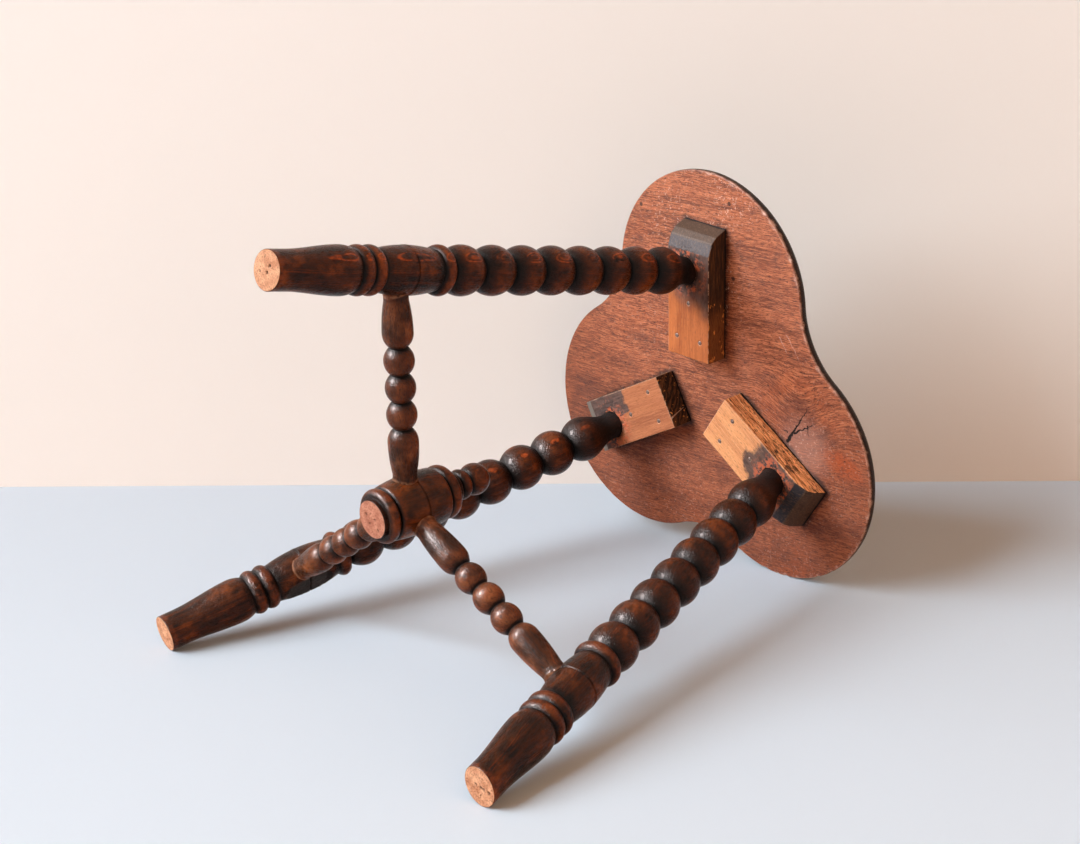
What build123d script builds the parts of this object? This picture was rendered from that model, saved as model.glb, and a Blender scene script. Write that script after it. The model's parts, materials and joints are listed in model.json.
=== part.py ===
from build123d import *
import math
import os
from collections import namedtuple

# A three-legged stool: a trefoil seat, a nailed block under each lobe, and three
# bobbin-turned legs tied by three turned stretchers to a turned hub in the middle.
# The stool is modelled about its own upright axis and moved at the end, so that the
# origin lies on the floor under the middle of its bounding box.

# ---- Driving dimensions, in millimetres and degrees -------------------------------

joint_gap = 0.1  # radial play of every round tenon in its socket
arris = 0.8  # softened edges of the sawn pieces

# Heights above the floor
block_face_height = 400.0  # underside of the blocks, where the legs go in
stretcher_height = 110.2  # axis of the three stretchers

# Seat
seat_thickness = 14.0
seat_edge_round = 12.0  # rounding of the upper edge
lobe_reach = 83.4  # from the seat's middle to the centre of a lobe
lobe_radius = 96.7
waist_reach = 122.1  # from the seat's middle to the nearest edge between two lobes
seat_turn = 1.4  # how far the seat is turned past the legs
seat_forward = 3.0  # how far the seat's middle lies in front of the stool's axis

# Blocks under the seat
block_thickness = 20.0
block_width = 44.0
block_inner_reach = 30.0  # from the stool's axis to the inner end
block_face_length = 89.0  # flat face, as far as the bevelled outer end
block_bevels = ((10.0, 4.0), (4.0, 4.5))  # run and rise of the first two bevels
block_last_bevel_run = 4.5  # the last bevel rises to the seat
block_sideways = 3.0  # centre line of the block past the leg's head

# Nails, three in each block
nail_length = 28.0
nail_radius = 1.0
nail_point = 3.0
nail_tip_radius = 0.2
nail_head_radius = 1.7
nail_head_thickness = 0.8
nail_sink = 0.4  # heads punched below the face
nail_play = 0.05  # between a nail and the wood round it
nail_pair_inset = 16.0  # from the block's inner end to the pair
nail_pair_half_span = 12.5
nail_single_inset = 46.0  # from the block's inner end to the third nail

# Each leg's place. The stool is hand-made, so no two legs splay quite alike.
front_foot_reach = 222.0  # from the stool's axis to the middle of a foot
right_foot_reach = 211.2
left_foot_reach = 207.6
Station = namedtuple("Station", "name azimuth foot_azimuth foot_reach foot_tilt block_turn")
stations = (
    Station("front", 270.0, 267.4, front_foot_reach, 0.0, 4.2),
    Station("right", 30.0, 24.6, right_foot_reach, 12.0, 2.2),
    Station("left", 150.0, 152.3, left_foot_reach, 14.0, 1.7),
)
leg_head_reach = 102.5  # from the stool's axis to a leg's axis at the block's face

# Leg turning, from the foot up
foot_radius = 14.1
foot_straight = 14.0
shoulder_radius = 17.5
shoulder_round = 11.0
shoulder_waist = 14.8  # creases beside the lower rings and the barrel
lower_rings = 2
lower_ring_length = 10.5
lower_ring_radius = 17.7
barrel_length = 53.0
barrel_radius = 17.7
leg_socket_rise = 18.2  # from the barrel's lower end to the stretcher's axis
upper_ring_length = 10.5
upper_ring_radius = 18.2
upper_ring_waist = 13.5
upper_ring_undercut = 1.5
ball_count = 8
ball_pitch = 30.0
ball_radius = 18.4
ball_waist = 10.8
neck_radius = 11.0  # neck, tenon and socket in the block
neck_straight = 6.0  # straight neck below the block's face
leg_tenon = 14.0  # depth of the tenon in the block
groove_width = 1.6
groove_depth = 0.9

# Stretcher turning
stretcher_tenon = 12.0  # depth of the tenons in hub and leg
stretcher_end_radius = 8.9  # tenon and socket
stretcher_end_straight = 4.0  # straight part outside hub and leg
bobbin_count = 3
bobbin_pitch = 20.5
bobbin_radius = 11.1
bobbin_waist = 6.2
swell_radius = 11.2
swell_round = 10.5  # rounded end of a swell beside the bobbins

# Hub turning, from its lower end up
hub_end_radius = 14.5
hub_end_length = 3.5
hub_ring_length = 9.0
hub_ring_radius = 20.5
hub_ring_waist = 15.8
hub_barrel_length = 47.0
hub_barrel_radius = 22.3
hub_barrel_shoulder = 20.8
hub_barrel_round = 3.2
hub_barrel_waist = 17.0
hub_socket_rise = 19.2  # from the barrel's lower end to the stretchers' axis
hub_collar_length = 10.5
hub_collar_radius = 20.4
hub_collar_waist = 14.5
hub_neck_radius = 8.0
hub_neck_length = 7.5
hub_bead_length = 9.5
hub_bead_radius = 11.5
hub_bead_waist = 8.5
finial_radius = 12.0

# ---- Values that follow ------------------------------------------------------------

seat_underside = block_face_height + block_thickness
lobe_spacing = 360 / len(stations)
hub_height = stretcher_height - hub_socket_rise - hub_ring_length - hub_end_length
rings_length = lower_rings * lower_ring_length
# From the foot to the widest part of the shoulder, so that the barrel takes the stretcher
taper_length = stretcher_height - leg_socket_rise - rings_length - shoulder_round
up = Vector(0, 0, 1)


def outward(azimuth, reach=1.0, height=0.0):
    """The point at this azimuth and reach from the stool's axis."""
    angle = math.radians(azimuth)
    return Vector(reach * math.cos(angle), reach * math.sin(angle), height)


# ---- Turned profiles: each stretch runs up a line at a radius -----------------------


class Turning:
    """The outline of a turned piece, drawn stretch by stretch along its axis."""

    def __init__(self, radius, start=0.0):
        self.start = start
        self.at = start
        self.radius = radius
        self.edges = [Line((0, 0, start), (radius, 0, start))]

    def _go(self, edge, radius, at):
        """Add an edge of the outline that ends at this radius and height."""
        self.edges.append(edge)
        self.radius = radius
        self.at = at

    def _ends(self, length, radius):
        """Both ends of the next stretch."""
        return Vector(self.radius, 0, self.at), Vector(radius, 0, self.at + length)

    def step(self, radius):
        """A flat face, square to the axis."""
        self._go(Line(*self._ends(0, radius)), radius, self.at)

    def cone(self, length, radius):
        """A straight stretch to a new radius."""
        self._go(Line(*self._ends(length, radius)), radius, self.at + length)

    def bead(self, length, crest, waist):
        """A rounded swelling that ends at the waist radius."""
        old, new = self._ends(length, waist)
        middle = Vector(crest, 0, self.at + length / 2)
        self._go(ThreePointArc(old, middle, new), waist, new.Z)

    def flare(self, length, radius):
        """An S-shaped stretch that starts and ends parallel to the axis."""
        old, new = self._ends(length, radius)
        self._go(Spline(old, new, tangents=[(0, 0, 1), (0, 0, 1)]), radius, new.Z)

    def round_in(self, length, radius):
        """Turn inwards: parallel to the axis at first, then round to the radius."""
        old, new = self._ends(length, radius)
        self._go(TangentArc(old, new, tangent=(0, 0, 1)), radius, new.Z)

    def round_out(self, length, radius):
        """Swell outwards: round at first, then parallel to the axis at the radius."""
        old, new = self._ends(length, radius)
        self._go(TangentArc(new, old, tangent=(0, 0, -1)), radius, new.Z)

    def ball(self, crest):
        """Close the turning with a ball of this radius."""
        centre = self.at + math.sqrt(crest**2 - self.radius**2)
        old, top = self._ends(centre + crest - self.at, 0)
        middle = Vector(crest, 0, centre)
        self._go(ThreePointArc(old, middle, top), 0, top.Z)

    def solid(self):
        """The turned solid, standing on its start with its axis along Z."""
        if self.radius > 0:
            self.edges.append(Line((self.radius, 0, self.at), (0, 0, self.at)))
        self.edges.append(Line((0, 0, self.at), (0, 0, self.start)))
        return revolve(make_face(Wire(self.edges)), Axis.Z)


def scribed_groove(radius, height):
    """A V-shaped ring that cuts a fine groove into a barrel."""
    # The V reaches as far outside the barrel as it cuts in, and is twice as wide there.
    outline = Polyline(
        (radius - groove_depth, 0, height),
        (radius + groove_depth, 0, height - groove_width),
        (radius + groove_depth, 0, height + groove_width),
        close=True,
    )
    return revolve(make_face(outline), Axis.Z)


# ---- Where the legs and stretchers stand ---------------------------------------------


class LegPlace:
    """The axis of one leg, from the middle of its foot to its head in the block."""

    def __init__(self, station):
        tilt = math.radians(station.foot_tilt)
        foot_height = foot_radius * math.sin(tilt)
        self.foot = outward(station.foot_azimuth, station.foot_reach, foot_height)
        self.head = outward(station.azimuth, leg_head_reach, block_face_height)
        self.axis = (self.head - self.foot).normalized()
        self.length = (self.head - self.foot).length
        splay = Vector(-self.axis.X, -self.axis.Y, 0)
        self.splay = splay.normalized()
        self.lean = math.asin(splay.length)
        self.plane = Plane(self.foot, x_dir=self.splay, z_dir=self.axis)
        self.sole = Plane(
            self.foot,
            x_dir=self.splay.cross(up),
            z_dir=up * math.cos(tilt) - self.splay * math.sin(tilt),
        )

    def at_height(self, height):
        """The point on the leg's axis at this height above the floor."""
        return self.foot + self.axis * ((height - self.foot.Z) / self.axis.Z)


class StretcherPlace:
    """The axis of one stretcher, from the hub's axis to the leg's axis."""

    def __init__(self, leg_place):
        start = Vector(0, 0, stretcher_height)
        end = leg_place.at_height(stretcher_height)
        self.length = (end - start).length
        self.plane = Plane(start, x_dir=up, z_dir=(end - start).normalized())
        self.hub_end = hub_barrel_radius - stretcher_tenon
        self.leg_end = self.length - barrel_radius + stretcher_tenon


def stretcher_bore(place, start, end):
    """The hole for a stretcher's tenon, between two distances from the hub's axis."""
    return place.plane * rod(stretcher_end_radius + joint_gap, start, end - start)


# ---- Pieces ----------------------------------------------------------------------


def turned_leg(place, stretcher_place):
    """A leg: foot, taper and shoulder, rings, barrel, balls, neck and tenon."""
    # The foot starts low enough to leave wood for a sole cut level with the floor.
    spare = foot_radius * math.tan(place.lean) + arris
    leg = Turning(foot_radius, start=-spare)
    leg.cone(spare + foot_straight, foot_radius)
    leg.flare(taper_length - foot_straight, shoulder_radius)
    leg.round_in(shoulder_round, shoulder_waist)
    for _ in range(lower_rings):
        leg.bead(lower_ring_length, lower_ring_radius, shoulder_waist)
    groove_at = leg.at + barrel_length / 2
    leg.bead(barrel_length, barrel_radius, shoulder_waist)
    leg.bead(upper_ring_length, upper_ring_radius, upper_ring_waist)
    leg.cone(upper_ring_undercut, ball_waist)
    for _ in range(ball_count - 1):
        leg.bead(ball_pitch, ball_radius, ball_waist)
    # The last ball runs out into the neck: two arcs that share a tangent.
    half_ball = ball_pitch / 2
    leg.round_out(half_ball, ball_radius)
    leg.flare(place.length - neck_straight - leg.at, neck_radius)
    leg.cone(neck_straight + leg_tenon, neck_radius)
    body = leg.solid() - scribed_groove(barrel_radius, groove_at)
    body = place.plane * body
    body = split(body, bisect_by=place.sole, keep=Keep.TOP)
    bore_end = stretcher_place.leg_end
    return body - stretcher_bore(stretcher_place, bore_end - 2 * barrel_radius, bore_end)


def leg_bore(place):
    """The socket for a leg's tenon in its block."""
    start = place.length - neck_straight
    return place.plane * rod(neck_radius + joint_gap, start, neck_straight + leg_tenon)


def block_plane(station):
    """The block's own frame: X runs out along it, Y across, Z up from its face."""
    azimuth = station.azimuth + station.block_turn
    head = outward(station.azimuth, leg_head_reach, block_face_height)
    along = outward(azimuth)
    across = outward(azimuth + 90)
    centre = head + across * block_sideways
    inner_end = centre - along * (leg_head_reach - block_inner_reach)
    return Plane(inner_end, x_dir=along, z_dir=up)


def block(station, place, nail_bores):
    """A sawn block with a bevelled outer end, bored for its leg and its nails."""
    points = [(0, block_thickness), (0, 0), (block_face_length, 0)]
    for run, rise in block_bevels:
        points.append((points[-1][0] + run, points[-1][1] + rise))
    points.append((points[-1][0] + block_last_bevel_run, block_thickness))
    side = Polyline(*[(x, 0, z) for x, z in points], close=True)
    body = extrude(make_face(side), amount=block_width / 2, dir=(0, 1, 0), both=True)
    face = body.faces().sort_by(Axis.Z)[0]
    body = fillet(face.edges(), arris)
    body = block_plane(station) * body
    return body - leg_bore(place) - nail_bores


def rod(radius, start, length):
    """A cylinder on the Z axis that starts at this height."""
    return Pos(0, 0, start) * Cylinder(
        radius, length, align=(Align.CENTER, Align.CENTER, Align.MIN)
    )


def nail():
    """A round wire nail, its head on the Z = 0 plane and its point up."""
    wire = Turning(nail_head_radius)
    wire.cone(nail_head_thickness, nail_head_radius)
    wire.step(nail_radius)
    wire.cone(nail_length - nail_point - nail_head_thickness, nail_radius)
    wire.cone(nail_point, nail_tip_radius)
    return wire.solid()


def nail_bore():
    """The hole that a punched nail leaves: a pit for its head and a hole for its shank."""
    hole = Turning(nail_head_radius + nail_play, start=-2 * nail_sink)
    hole.cone(2 * nail_sink + nail_head_thickness + nail_play, nail_head_radius + nail_play)
    hole.step(nail_radius + nail_play)
    hole.cone(nail_length - nail_head_thickness, nail_radius + nail_play)
    return hole.solid()


def nail_places(station):
    """The places of the three nails in one block."""
    spots = (
        (nail_pair_inset, -nail_pair_half_span),
        (nail_pair_inset, nail_pair_half_span),
        (nail_single_inset, 0.0),
    )
    plane = block_plane(station)
    return [plane * Pos(x, y, nail_sink) for x, y in spots]


def turned_stretcher(place):
    """A stretcher: tenon and swell, a row of bobbins, swell and tenon."""
    hub_face = hub_barrel_radius + stretcher_end_straight
    leg_face = place.length - barrel_radius - stretcher_end_straight
    row = bobbin_count * bobbin_pitch
    row_start = (hub_face + leg_face - row) / 2
    row_end = row_start + row
    bar = Turning(stretcher_end_radius, start=place.hub_end)
    bar.cone(hub_face - bar.at, stretcher_end_radius)
    bar.round_out(row_start - swell_round - bar.at, swell_radius)
    bar.round_in(swell_round, bobbin_waist)
    for _ in range(bobbin_count):
        bar.bead(bobbin_pitch, bobbin_radius, bobbin_waist)
    bar.round_out(row_end + swell_round - bar.at, swell_radius)
    bar.round_in(leg_face - bar.at, stretcher_end_radius)
    bar.cone(place.leg_end - bar.at, stretcher_end_radius)
    return place.plane * bar.solid()


def turned_hub(stretcher_places):
    """The hub: ring, barrel and collar, with a beaded ball finial on top."""
    hub = Turning(hub_end_radius)
    hub.cone(hub_end_length, hub_end_radius)
    hub.bead(hub_ring_length, hub_ring_radius, hub_ring_waist)
    groove_at = hub.at + hub_barrel_length / 2
    hub.round_out(hub_barrel_round, hub_barrel_shoulder)
    hub.bead(hub_barrel_length - 2 * hub_barrel_round, hub_barrel_radius, hub_barrel_shoulder)
    hub.round_in(hub_barrel_round, hub_barrel_waist)
    hub.bead(hub_collar_length, hub_collar_radius, hub_collar_waist)
    hub.round_in(hub_neck_length, hub_neck_radius)
    hub.bead(hub_bead_length, hub_bead_radius, hub_bead_waist)
    hub.ball(finial_radius)
    body = Pos(0, 0, hub_height) * (hub.solid() - scribed_groove(hub_barrel_radius, groove_at))
    for place in stretcher_places:
        body -= stretcher_bore(place, place.hub_end, place.hub_end + hub_barrel_radius)
    return body


def trefoil_seat(nail_bores):
    """The seat: three lobe arcs joined by three hollow arcs, rounded on top."""
    # The hollow arc touches both lobes and passes the stool's axis at waist_reach.
    hollow_radius = (
        lobe_reach**2 + waist_reach**2 - lobe_reach * waist_reach - lobe_radius**2
    ) / (2 * lobe_radius - 2 * waist_reach + lobe_reach)
    edges = []
    for station in stations:
        azimuth = station.azimuth + seat_turn
        lobe = outward(azimuth, lobe_reach)
        tip = outward(azimuth, lobe_reach + lobe_radius)
        waist_before = azimuth - lobe_spacing / 2
        waist_after = azimuth + lobe_spacing / 2
        hollow_before = outward(waist_before, waist_reach + hollow_radius)
        hollow_after = outward(waist_after, waist_reach + hollow_radius)
        start = lobe + (hollow_before - lobe).normalized() * lobe_radius
        end = lobe + (hollow_after - lobe).normalized() * lobe_radius
        next_lobe = outward(azimuth + lobe_spacing, lobe_reach)
        next_start = next_lobe + (hollow_after - next_lobe).normalized() * lobe_radius
        edges.append(ThreePointArc(start, tip, end))
        edges.append(ThreePointArc(end, outward(waist_after, waist_reach), next_start))
    board = extrude(make_face(Wire(edges)), amount=seat_thickness, dir=(0, 0, 1))
    board = fillet(board.faces().sort_by(Axis.Z)[-1].edges(), seat_edge_round)
    board = fillet(board.faces().sort_by(Axis.Z)[0].edges(), arris)
    return Pos(0, -seat_forward, seat_underside) * board - nail_bores


# ---- Build every piece about the stool's own axis -------------------------------------

pieces = {}
all_nails = []
all_nail_bores = []
stretcher_places = []
for station in stations:
    place = LegPlace(station)
    stretcher_place = StretcherPlace(place)
    stretcher_places.append(stretcher_place)
    spots = nail_places(station)
    nail_bores = [spot * nail_bore() for spot in spots]
    all_nails += [spot * nail() for spot in spots]
    all_nail_bores += nail_bores
    pieces["leg_" + station.name] = turned_leg(place, stretcher_place)
    pieces["block_" + station.name] = block(station, place, nail_bores)
    pieces["stretcher_" + station.name] = turned_stretcher(stretcher_place)

pieces["hub"] = turned_hub(stretcher_places)
pieces["seat"] = trefoil_seat(all_nail_bores)
pieces["block_nails"] = Compound(all_nails)

# ---- Stand the stool over the origin and write the pieces ------------------------------

box = Compound(children=[Compound(piece.wrapped) for piece in pieces.values()]).bounding_box()
to_origin = Pos(-(box.min.X + box.max.X) / 2, -(box.min.Y + box.max.Y) / 2, -box.min.Z)

os.makedirs("parts", exist_ok=True)
for name, piece in pieces.items():
    export_step(to_origin * piece, f"parts/{name}.step")

print(f"overall {box.size.X:.1f} x {box.size.Y:.1f} x {box.size.Z:.1f} mm")
print(f"stool's axis at x {to_origin.position.X:.2f}, y {to_origin.position.Y:.2f} mm")
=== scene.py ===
# %% [markdown]
# # A three-legged stool with bobbin-turned legs
# The stool is a small piece of turner's work: three legs, three stretchers and a hub, all
# turned on a lathe, and a trefoil board on three nailed blocks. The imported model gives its
# true sizes. This lesson loads that model, and then dresses each piece for the eye. A
# piece could be shaped by hand, but a turning follows a rule, so here a small lathe built
# from Geometry Nodes spins each outline about its own axis.

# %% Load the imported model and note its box
import json
import math

import bmesh
import bpy
import numpy as np
from mathutils import Matrix, Vector, noise


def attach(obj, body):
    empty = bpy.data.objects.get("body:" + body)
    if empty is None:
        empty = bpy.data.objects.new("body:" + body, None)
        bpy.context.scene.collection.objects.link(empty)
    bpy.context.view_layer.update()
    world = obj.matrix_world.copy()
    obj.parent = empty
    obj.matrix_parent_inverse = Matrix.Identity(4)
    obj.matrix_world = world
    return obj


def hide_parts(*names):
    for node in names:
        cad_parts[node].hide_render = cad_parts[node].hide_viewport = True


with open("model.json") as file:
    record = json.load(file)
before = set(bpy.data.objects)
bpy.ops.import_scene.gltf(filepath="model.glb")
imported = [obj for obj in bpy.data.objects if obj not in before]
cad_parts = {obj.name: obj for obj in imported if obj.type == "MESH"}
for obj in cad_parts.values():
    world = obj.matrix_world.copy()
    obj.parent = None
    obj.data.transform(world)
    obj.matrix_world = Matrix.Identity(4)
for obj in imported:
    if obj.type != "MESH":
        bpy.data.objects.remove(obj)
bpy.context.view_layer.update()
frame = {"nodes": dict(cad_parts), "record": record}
bpy.context.scene.view_settings.view_transform = "Standard"
print("nodes", sorted(frame["nodes"]))

# %% [markdown]
# ## Where everything stands
# Sizes are in millimetres, as a turner would write them, and become metres on the way
# into Blender. The stool's own upright axis passes a little in front of the middle of its
# box. The mount on top of the seat tells where, so nothing here has to be fitted by eye.

# %% The stool's own axis
mm = 0.001
up = Vector((0, 0, 1))
seat_height = 434.0
seat_forward = 3.0
seat_mount = frame["record"]["mounts"][0]["pos_m"]
stool_foot = Vector((
    seat_mount[0] / mm,
    seat_mount[1] / mm + seat_forward,
    seat_mount[2] / mm - seat_height,
))


def outward(azimuth, reach=1.0, height=0.0):
    """The offset from the stool's axis at this azimuth, in degrees."""
    angle = math.radians(azimuth)
    return Vector((reach * math.cos(angle), reach * math.sin(angle), height))


print("the stool's axis meets the floor at", [round(v, 2) for v in stool_foot])

# %% [markdown]
# ## One method for every node
# A material and a geometry tree are both graphs of nodes. The class below makes any node:
# it takes the node's type, then its settings, and then the values or links of its
# sockets. The second class wraps one socket, so that sums on sockets can be written as
# plain arithmetic. That keeps a long material readable.

# %% Graphs of nodes, and arithmetic on their sockets


class Graph:
    """A node tree in which every node comes from one method."""

    def __init__(self, tree):
        self.tree = tree

    def node(self, kind, settings=(), sockets=()):
        """Add a node: settings first, then the values or links of its sockets."""
        made = self.tree.nodes.new(kind)
        for name, value in dict(settings).items():
            setattr(made, name, value)
        for name, value in dict(sockets).items():
            by_name = (s for s in made.inputs if s.enabled and s.name == name)
            socket = made.inputs[name] if isinstance(name, int) else next(by_name)
            if isinstance(value, Field):
                self.tree.links.new(value.socket, socket)
            else:
                socket.default_value = value
        shown = [s for s in made.outputs if s.enabled]
        return Field(self, shown[0]) if shown else made

    def vector(self, operation, *values, **named):
        """A step of vector arithmetic."""
        sockets = dict(enumerate(values)) | named
        return self.node("ShaderNodeVectorMath", {"operation": operation}, sockets)


class Field:
    """The value of one socket; arithmetic on it adds Math nodes."""

    def __init__(self, graph, socket):
        self.graph = graph
        self.socket = socket

    def __getitem__(self, name):
        """Another output of the same node."""
        outputs = self.socket.node.outputs
        return Field(self.graph, next(s for s in outputs if s.enabled and s.name == name))

    def _math(self, operation, *values):
        settings = {"operation": operation}
        return self.graph.node("ShaderNodeMath", settings, dict(enumerate(values)))

    def __add__(self, other):
        return self._math("ADD", self, other)

    def __sub__(self, other):
        return self._math("SUBTRACT", self, other)

    def __rsub__(self, other):
        return self._math("SUBTRACT", other, self)

    def __mul__(self, other):
        return self._math("MULTIPLY", self, other)

    def __truediv__(self, other):
        return self._math("DIVIDE", self, other)

    __radd__ = __add__
    __rmul__ = __mul__

    def part(self):
        """What is left above the whole number."""
        return self._math("FRACT", self)

    def either(self, other):
        """The larger of two values."""
        return self._math("MAXIMUM", self, other)

    def between(self, low, high):
        """0 at low and 1 at high, with a soft step from one to the other."""
        settings = {"interpolation_type": "SMOOTHSTEP"}
        sockets = {"Value": self, "From Min": low, "From Max": high}
        return self.graph.node("ShaderNodeMapRange", settings, sockets)


def tint(red, green, blue):
    """A colour written as 0 to 255 on the screen, in the numbers that nodes take."""
    screen = np.array([red, green, blue]) / 255
    linear = np.where(screen <= 0.04045, screen / 12.92, ((screen + 0.055) / 1.055) ** 2.4)
    return (*linear.tolist(), 1.0)


def mixed(share, first, second):
    """Two colours, mixed by a share from 0 to 1."""
    sockets = {"Factor": share, "A": first, "B": second}
    return share.graph.node("ShaderNodeMix", {"data_type": "RGBA"}, sockets)


def coated(base, *coats):
    """Coats of colour over a base: each is its share, and its red, green and blue."""
    for share, colour in coats:
        base = mixed(share, base, tint(*colour))
    return base


def mixed_value(share, first, second):
    """Two numbers, mixed by a share from 0 to 1."""
    return (1 - share) * first + share * second


def stretched(vector, scale):
    """A position with each direction scaled on its own."""
    return vector.graph.vector("MULTIPLY", vector, scale)


def mottle(vector, scale, detail=3.0, roughness=0.55, distortion=0.0):
    """Soft noise about 0.5 that changes over 1 / scale."""
    sockets = {"Vector": vector, "Scale": scale, "Detail": detail}
    sockets |= {"Roughness": roughness, "Distortion": distortion}
    return vector.graph.node("ShaderNodeTexNoise", {}, sockets)


def mark(graph, name):
    """A value that the mesh carries under this name."""
    return graph.node("ShaderNodeAttribute", {"attribute_name": name})["Fac"]


def place_on(graph, name):
    """A position that the mesh carries under this name."""
    return graph.node("ShaderNodeAttribute", {"attribute_name": name})["Vector"]


def new_finish(name):
    """An empty material: its graph, and a function that joins it to its surface."""
    material = bpy.data.materials.new(name)
    material.use_nodes = True
    material.node_tree.nodes.clear()
    graph = Graph(material.node_tree)

    def close(surface, relief=None, strength=1.0, height=0.0):
        """Join a shader, or make one from its sockets and a relief, and end the finish."""
        if relief:
            bumped = graph.node("ShaderNodeBump", {}, {
                "Strength": strength, "Distance": height, "Height": relief})
            surface = graph.node("ShaderNodeBsdfPrincipled", {}, {**surface, "Normal": bumped})
        graph.node("ShaderNodeOutputMaterial", {}, {"Surface": surface})
        print("finish", name, "has", len(material.node_tree.nodes), "nodes")
        return material

    return graph, close


print("half grey on the screen is", round(tint(128, 128, 128)[0], 3), "to a node")

# %% [markdown]
# ## The finish of the turned wood
# The legs are dark walnut stain under an old gloss. Where the lathe cut through flat
# layers of growth, thin orange ovals show on the balls, one or two inside each other. The
# hollows are painted near black, partly for stain and dirt gathered there and partly as
# painted shade, and the stain has worn off on the crests. Painting that by hand would take
# one picture for each leg. A solid texture is better: each mesh carries its place in the
# plank, measured from the heart of the tree, so the layers cut the balls by themselves and
# the ovals fall where they would in real wood. The mesh also carries marks, most of them for
# what the turner and the years did: how far each row lies below the crest next to it, where
# painted shade darkens the stain; painted shade where each neck goes into its block and next
# to both ends of each stretcher, with the dark wear of the right leg's rubbed flat; rings of
# squeezed-out glue, fine crazing of the varnish, and small holes in the cut ends. One
# function makes three stains of it: dark legs, more worn stretchers, and a hub between the
# two. Old varnish shines little, so the specular level is low and the coat is thin.

# %% Walnut-stained turning

year_width = 8.0


def growth_rings(grain):
    """Two thin lines in each year's layer, bright near the heart, and how near it is."""
    sway = mottle(stretched(grain, (1, 1, 0.5)), 90, 3.0)
    reach = grain.graph.vector("LENGTH", stretched(grain, (1, 1, 0)))["Value"]
    reach = (reach + (sway - 0.5) * 0.0028) / (year_width * mm)
    within = reach.part()
    late = within.between(0.80, 0.86) * within.between(0.94, 0.87)
    early = within.between(0.66, 0.70) * within.between(0.75, 0.71)
    near = reach.between(1.5, 1.1)
    return late.either(early * 0.7) * (near * 0.75 + 0.25), near


def turning_finish(name, low, high, bright, ends, crease_shade_strength):
    """Walnut stain under a worn gloss, painted shade in the creases, and bare end grain where the
    piece is cut.
    """
    graph, close = new_finish(name)
    grain = place_on(graph, "grain")
    hollow, crest, depth, cut, scorch, glue, hole, craze = (
        mark(graph, key) for key in (
            "hollow", "crest", "depth", "cut_end", "scorch", "glue", "hole", "craze"))
    rings, near = growth_rings(grain)
    pores = mottle(stretched(grain, (1, 1, 0.16)), 1500, 2.0, 0.6)
    fibres = mottle(stretched(grain, (1, 1, 0.05)), 420, 3.0)
    patches = mottle(stretched(grain, (1, 1, 0.7)), 60, 3.0)
    wear = mottle(grain, 160, 3.0)
    peel = mottle(stretched(grain, (1, 1, 0.6)), 950, 2.0)

    warm = patches.between(0.50, 0.66) * wear.between(0.38, 0.62)
    clear_rings = rings * wear.between(0.30, 0.54) * patches.between(0.36, 0.46)
    rubbed = crest * wear.between(0.3, 0.6)
    shade = (depth + (wear - 0.5) * 0.5).between(0.0, 0.50)
    stain = coated(
        mixed(patches.between(0.36, 0.64), tint(*low), tint(*high)),
        (fibres.between(0.42, 0.72) * 0.4, (104, 50, 23)),
        (warm * 0.6, bright),
        (near * wear.between(0.3, 0.7) * 0.3, (144, 72, 30)),
        (clear_rings * 0.75, (200, 90, 38)),
        (rubbed * 0.42, (146, 74, 42)),
        (pores.between(0.50, 0.36) * 0.55, (22, 13, 10)),
        # painted shade: the stain darkens where a row lies below the crests near it
        (shade * crease_shade_strength, (20, 12, 9)),
        # near black in the hollows: partly stain and dirt gathered there, partly painted shade
        (hollow.between(0.0, 0.8) * 0.94, (9, 6, 5)),
        # painted shade where a neck goes into its block and next to both ends of each stretcher,
        # and the dark wear of the right leg's rubbed flat
        (scorch, (17, 12, 11)),
        (glue * wear.between(0.38, 0.55) * 0.7, (150, 108, 82)),
    )

    specks = mottle(stretched(grain, (1, 1, 0.02)), 900, 2.0, 0.7)
    bare = coated(
        mixed(wear.between(0.3, 0.7), tint(*ends[0]), tint(*ends[1])),
        (specks.between(0.50, 0.66) * 0.7, (124, 72, 48)),
        (rings * 0.5, (150, 90, 62)),
        (hole, (30, 17, 12)),
    )
    skin = mixed(cut, stain, bare)

    relief = pores * 0.6 + peel * (craze * 1.1 + 0.5) + wear * 0.5 + cut * specks * 2.0
    gloss = pores.between(0.7, 0.3) * 0.15 + hollow * 0.2 + wear * 0.12 + scorch * 0.3 + 0.15
    return close({
        "Base Color": skin,
        "Roughness": mixed_value(cut, gloss, 0.85),
        "Specular IOR Level": 0.1,
        "Coat Weight": (1 - cut) * (1 - hollow) * 0.05,
        "Coat Roughness": 0.14,
    }, relief, 0.8, 0.0007)


pale_ends = (232, 178, 140), (196, 134, 98)
hub_ends = (204, 142, 116), (168, 104, 82)
turned_wood = turning_finish(
    "walnut_stained_turning", (23, 12, 6), (72, 37, 16), (142, 72, 30), pale_ends, 0.85)
worn_turning = turning_finish(
    "worn_walnut_turning", (56, 34, 23), (122, 73, 47), (168, 100, 62), pale_ends, 0.5)
hub_turning = turning_finish(
    "hub_turning", (38, 22, 11), (100, 54, 26), (150, 80, 40), hub_ends, 0.75)

# %% [markdown]
# ## A lathe made of Geometry Nodes
# A turning is an outline spun about its axis. The outline arrives as a string of points
# on the axis, and each point carries its radius. Curve to Mesh sweeps a circle along the
# string and takes the radius as its scale. A spin in mesh code would do as well, but the
# node lathe keeps the marks of each row, such as how deep it lies in a hollow, without
# any extra work. A little noise makes the piece slightly out of round, as old wood is.

# %% The lathe


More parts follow.
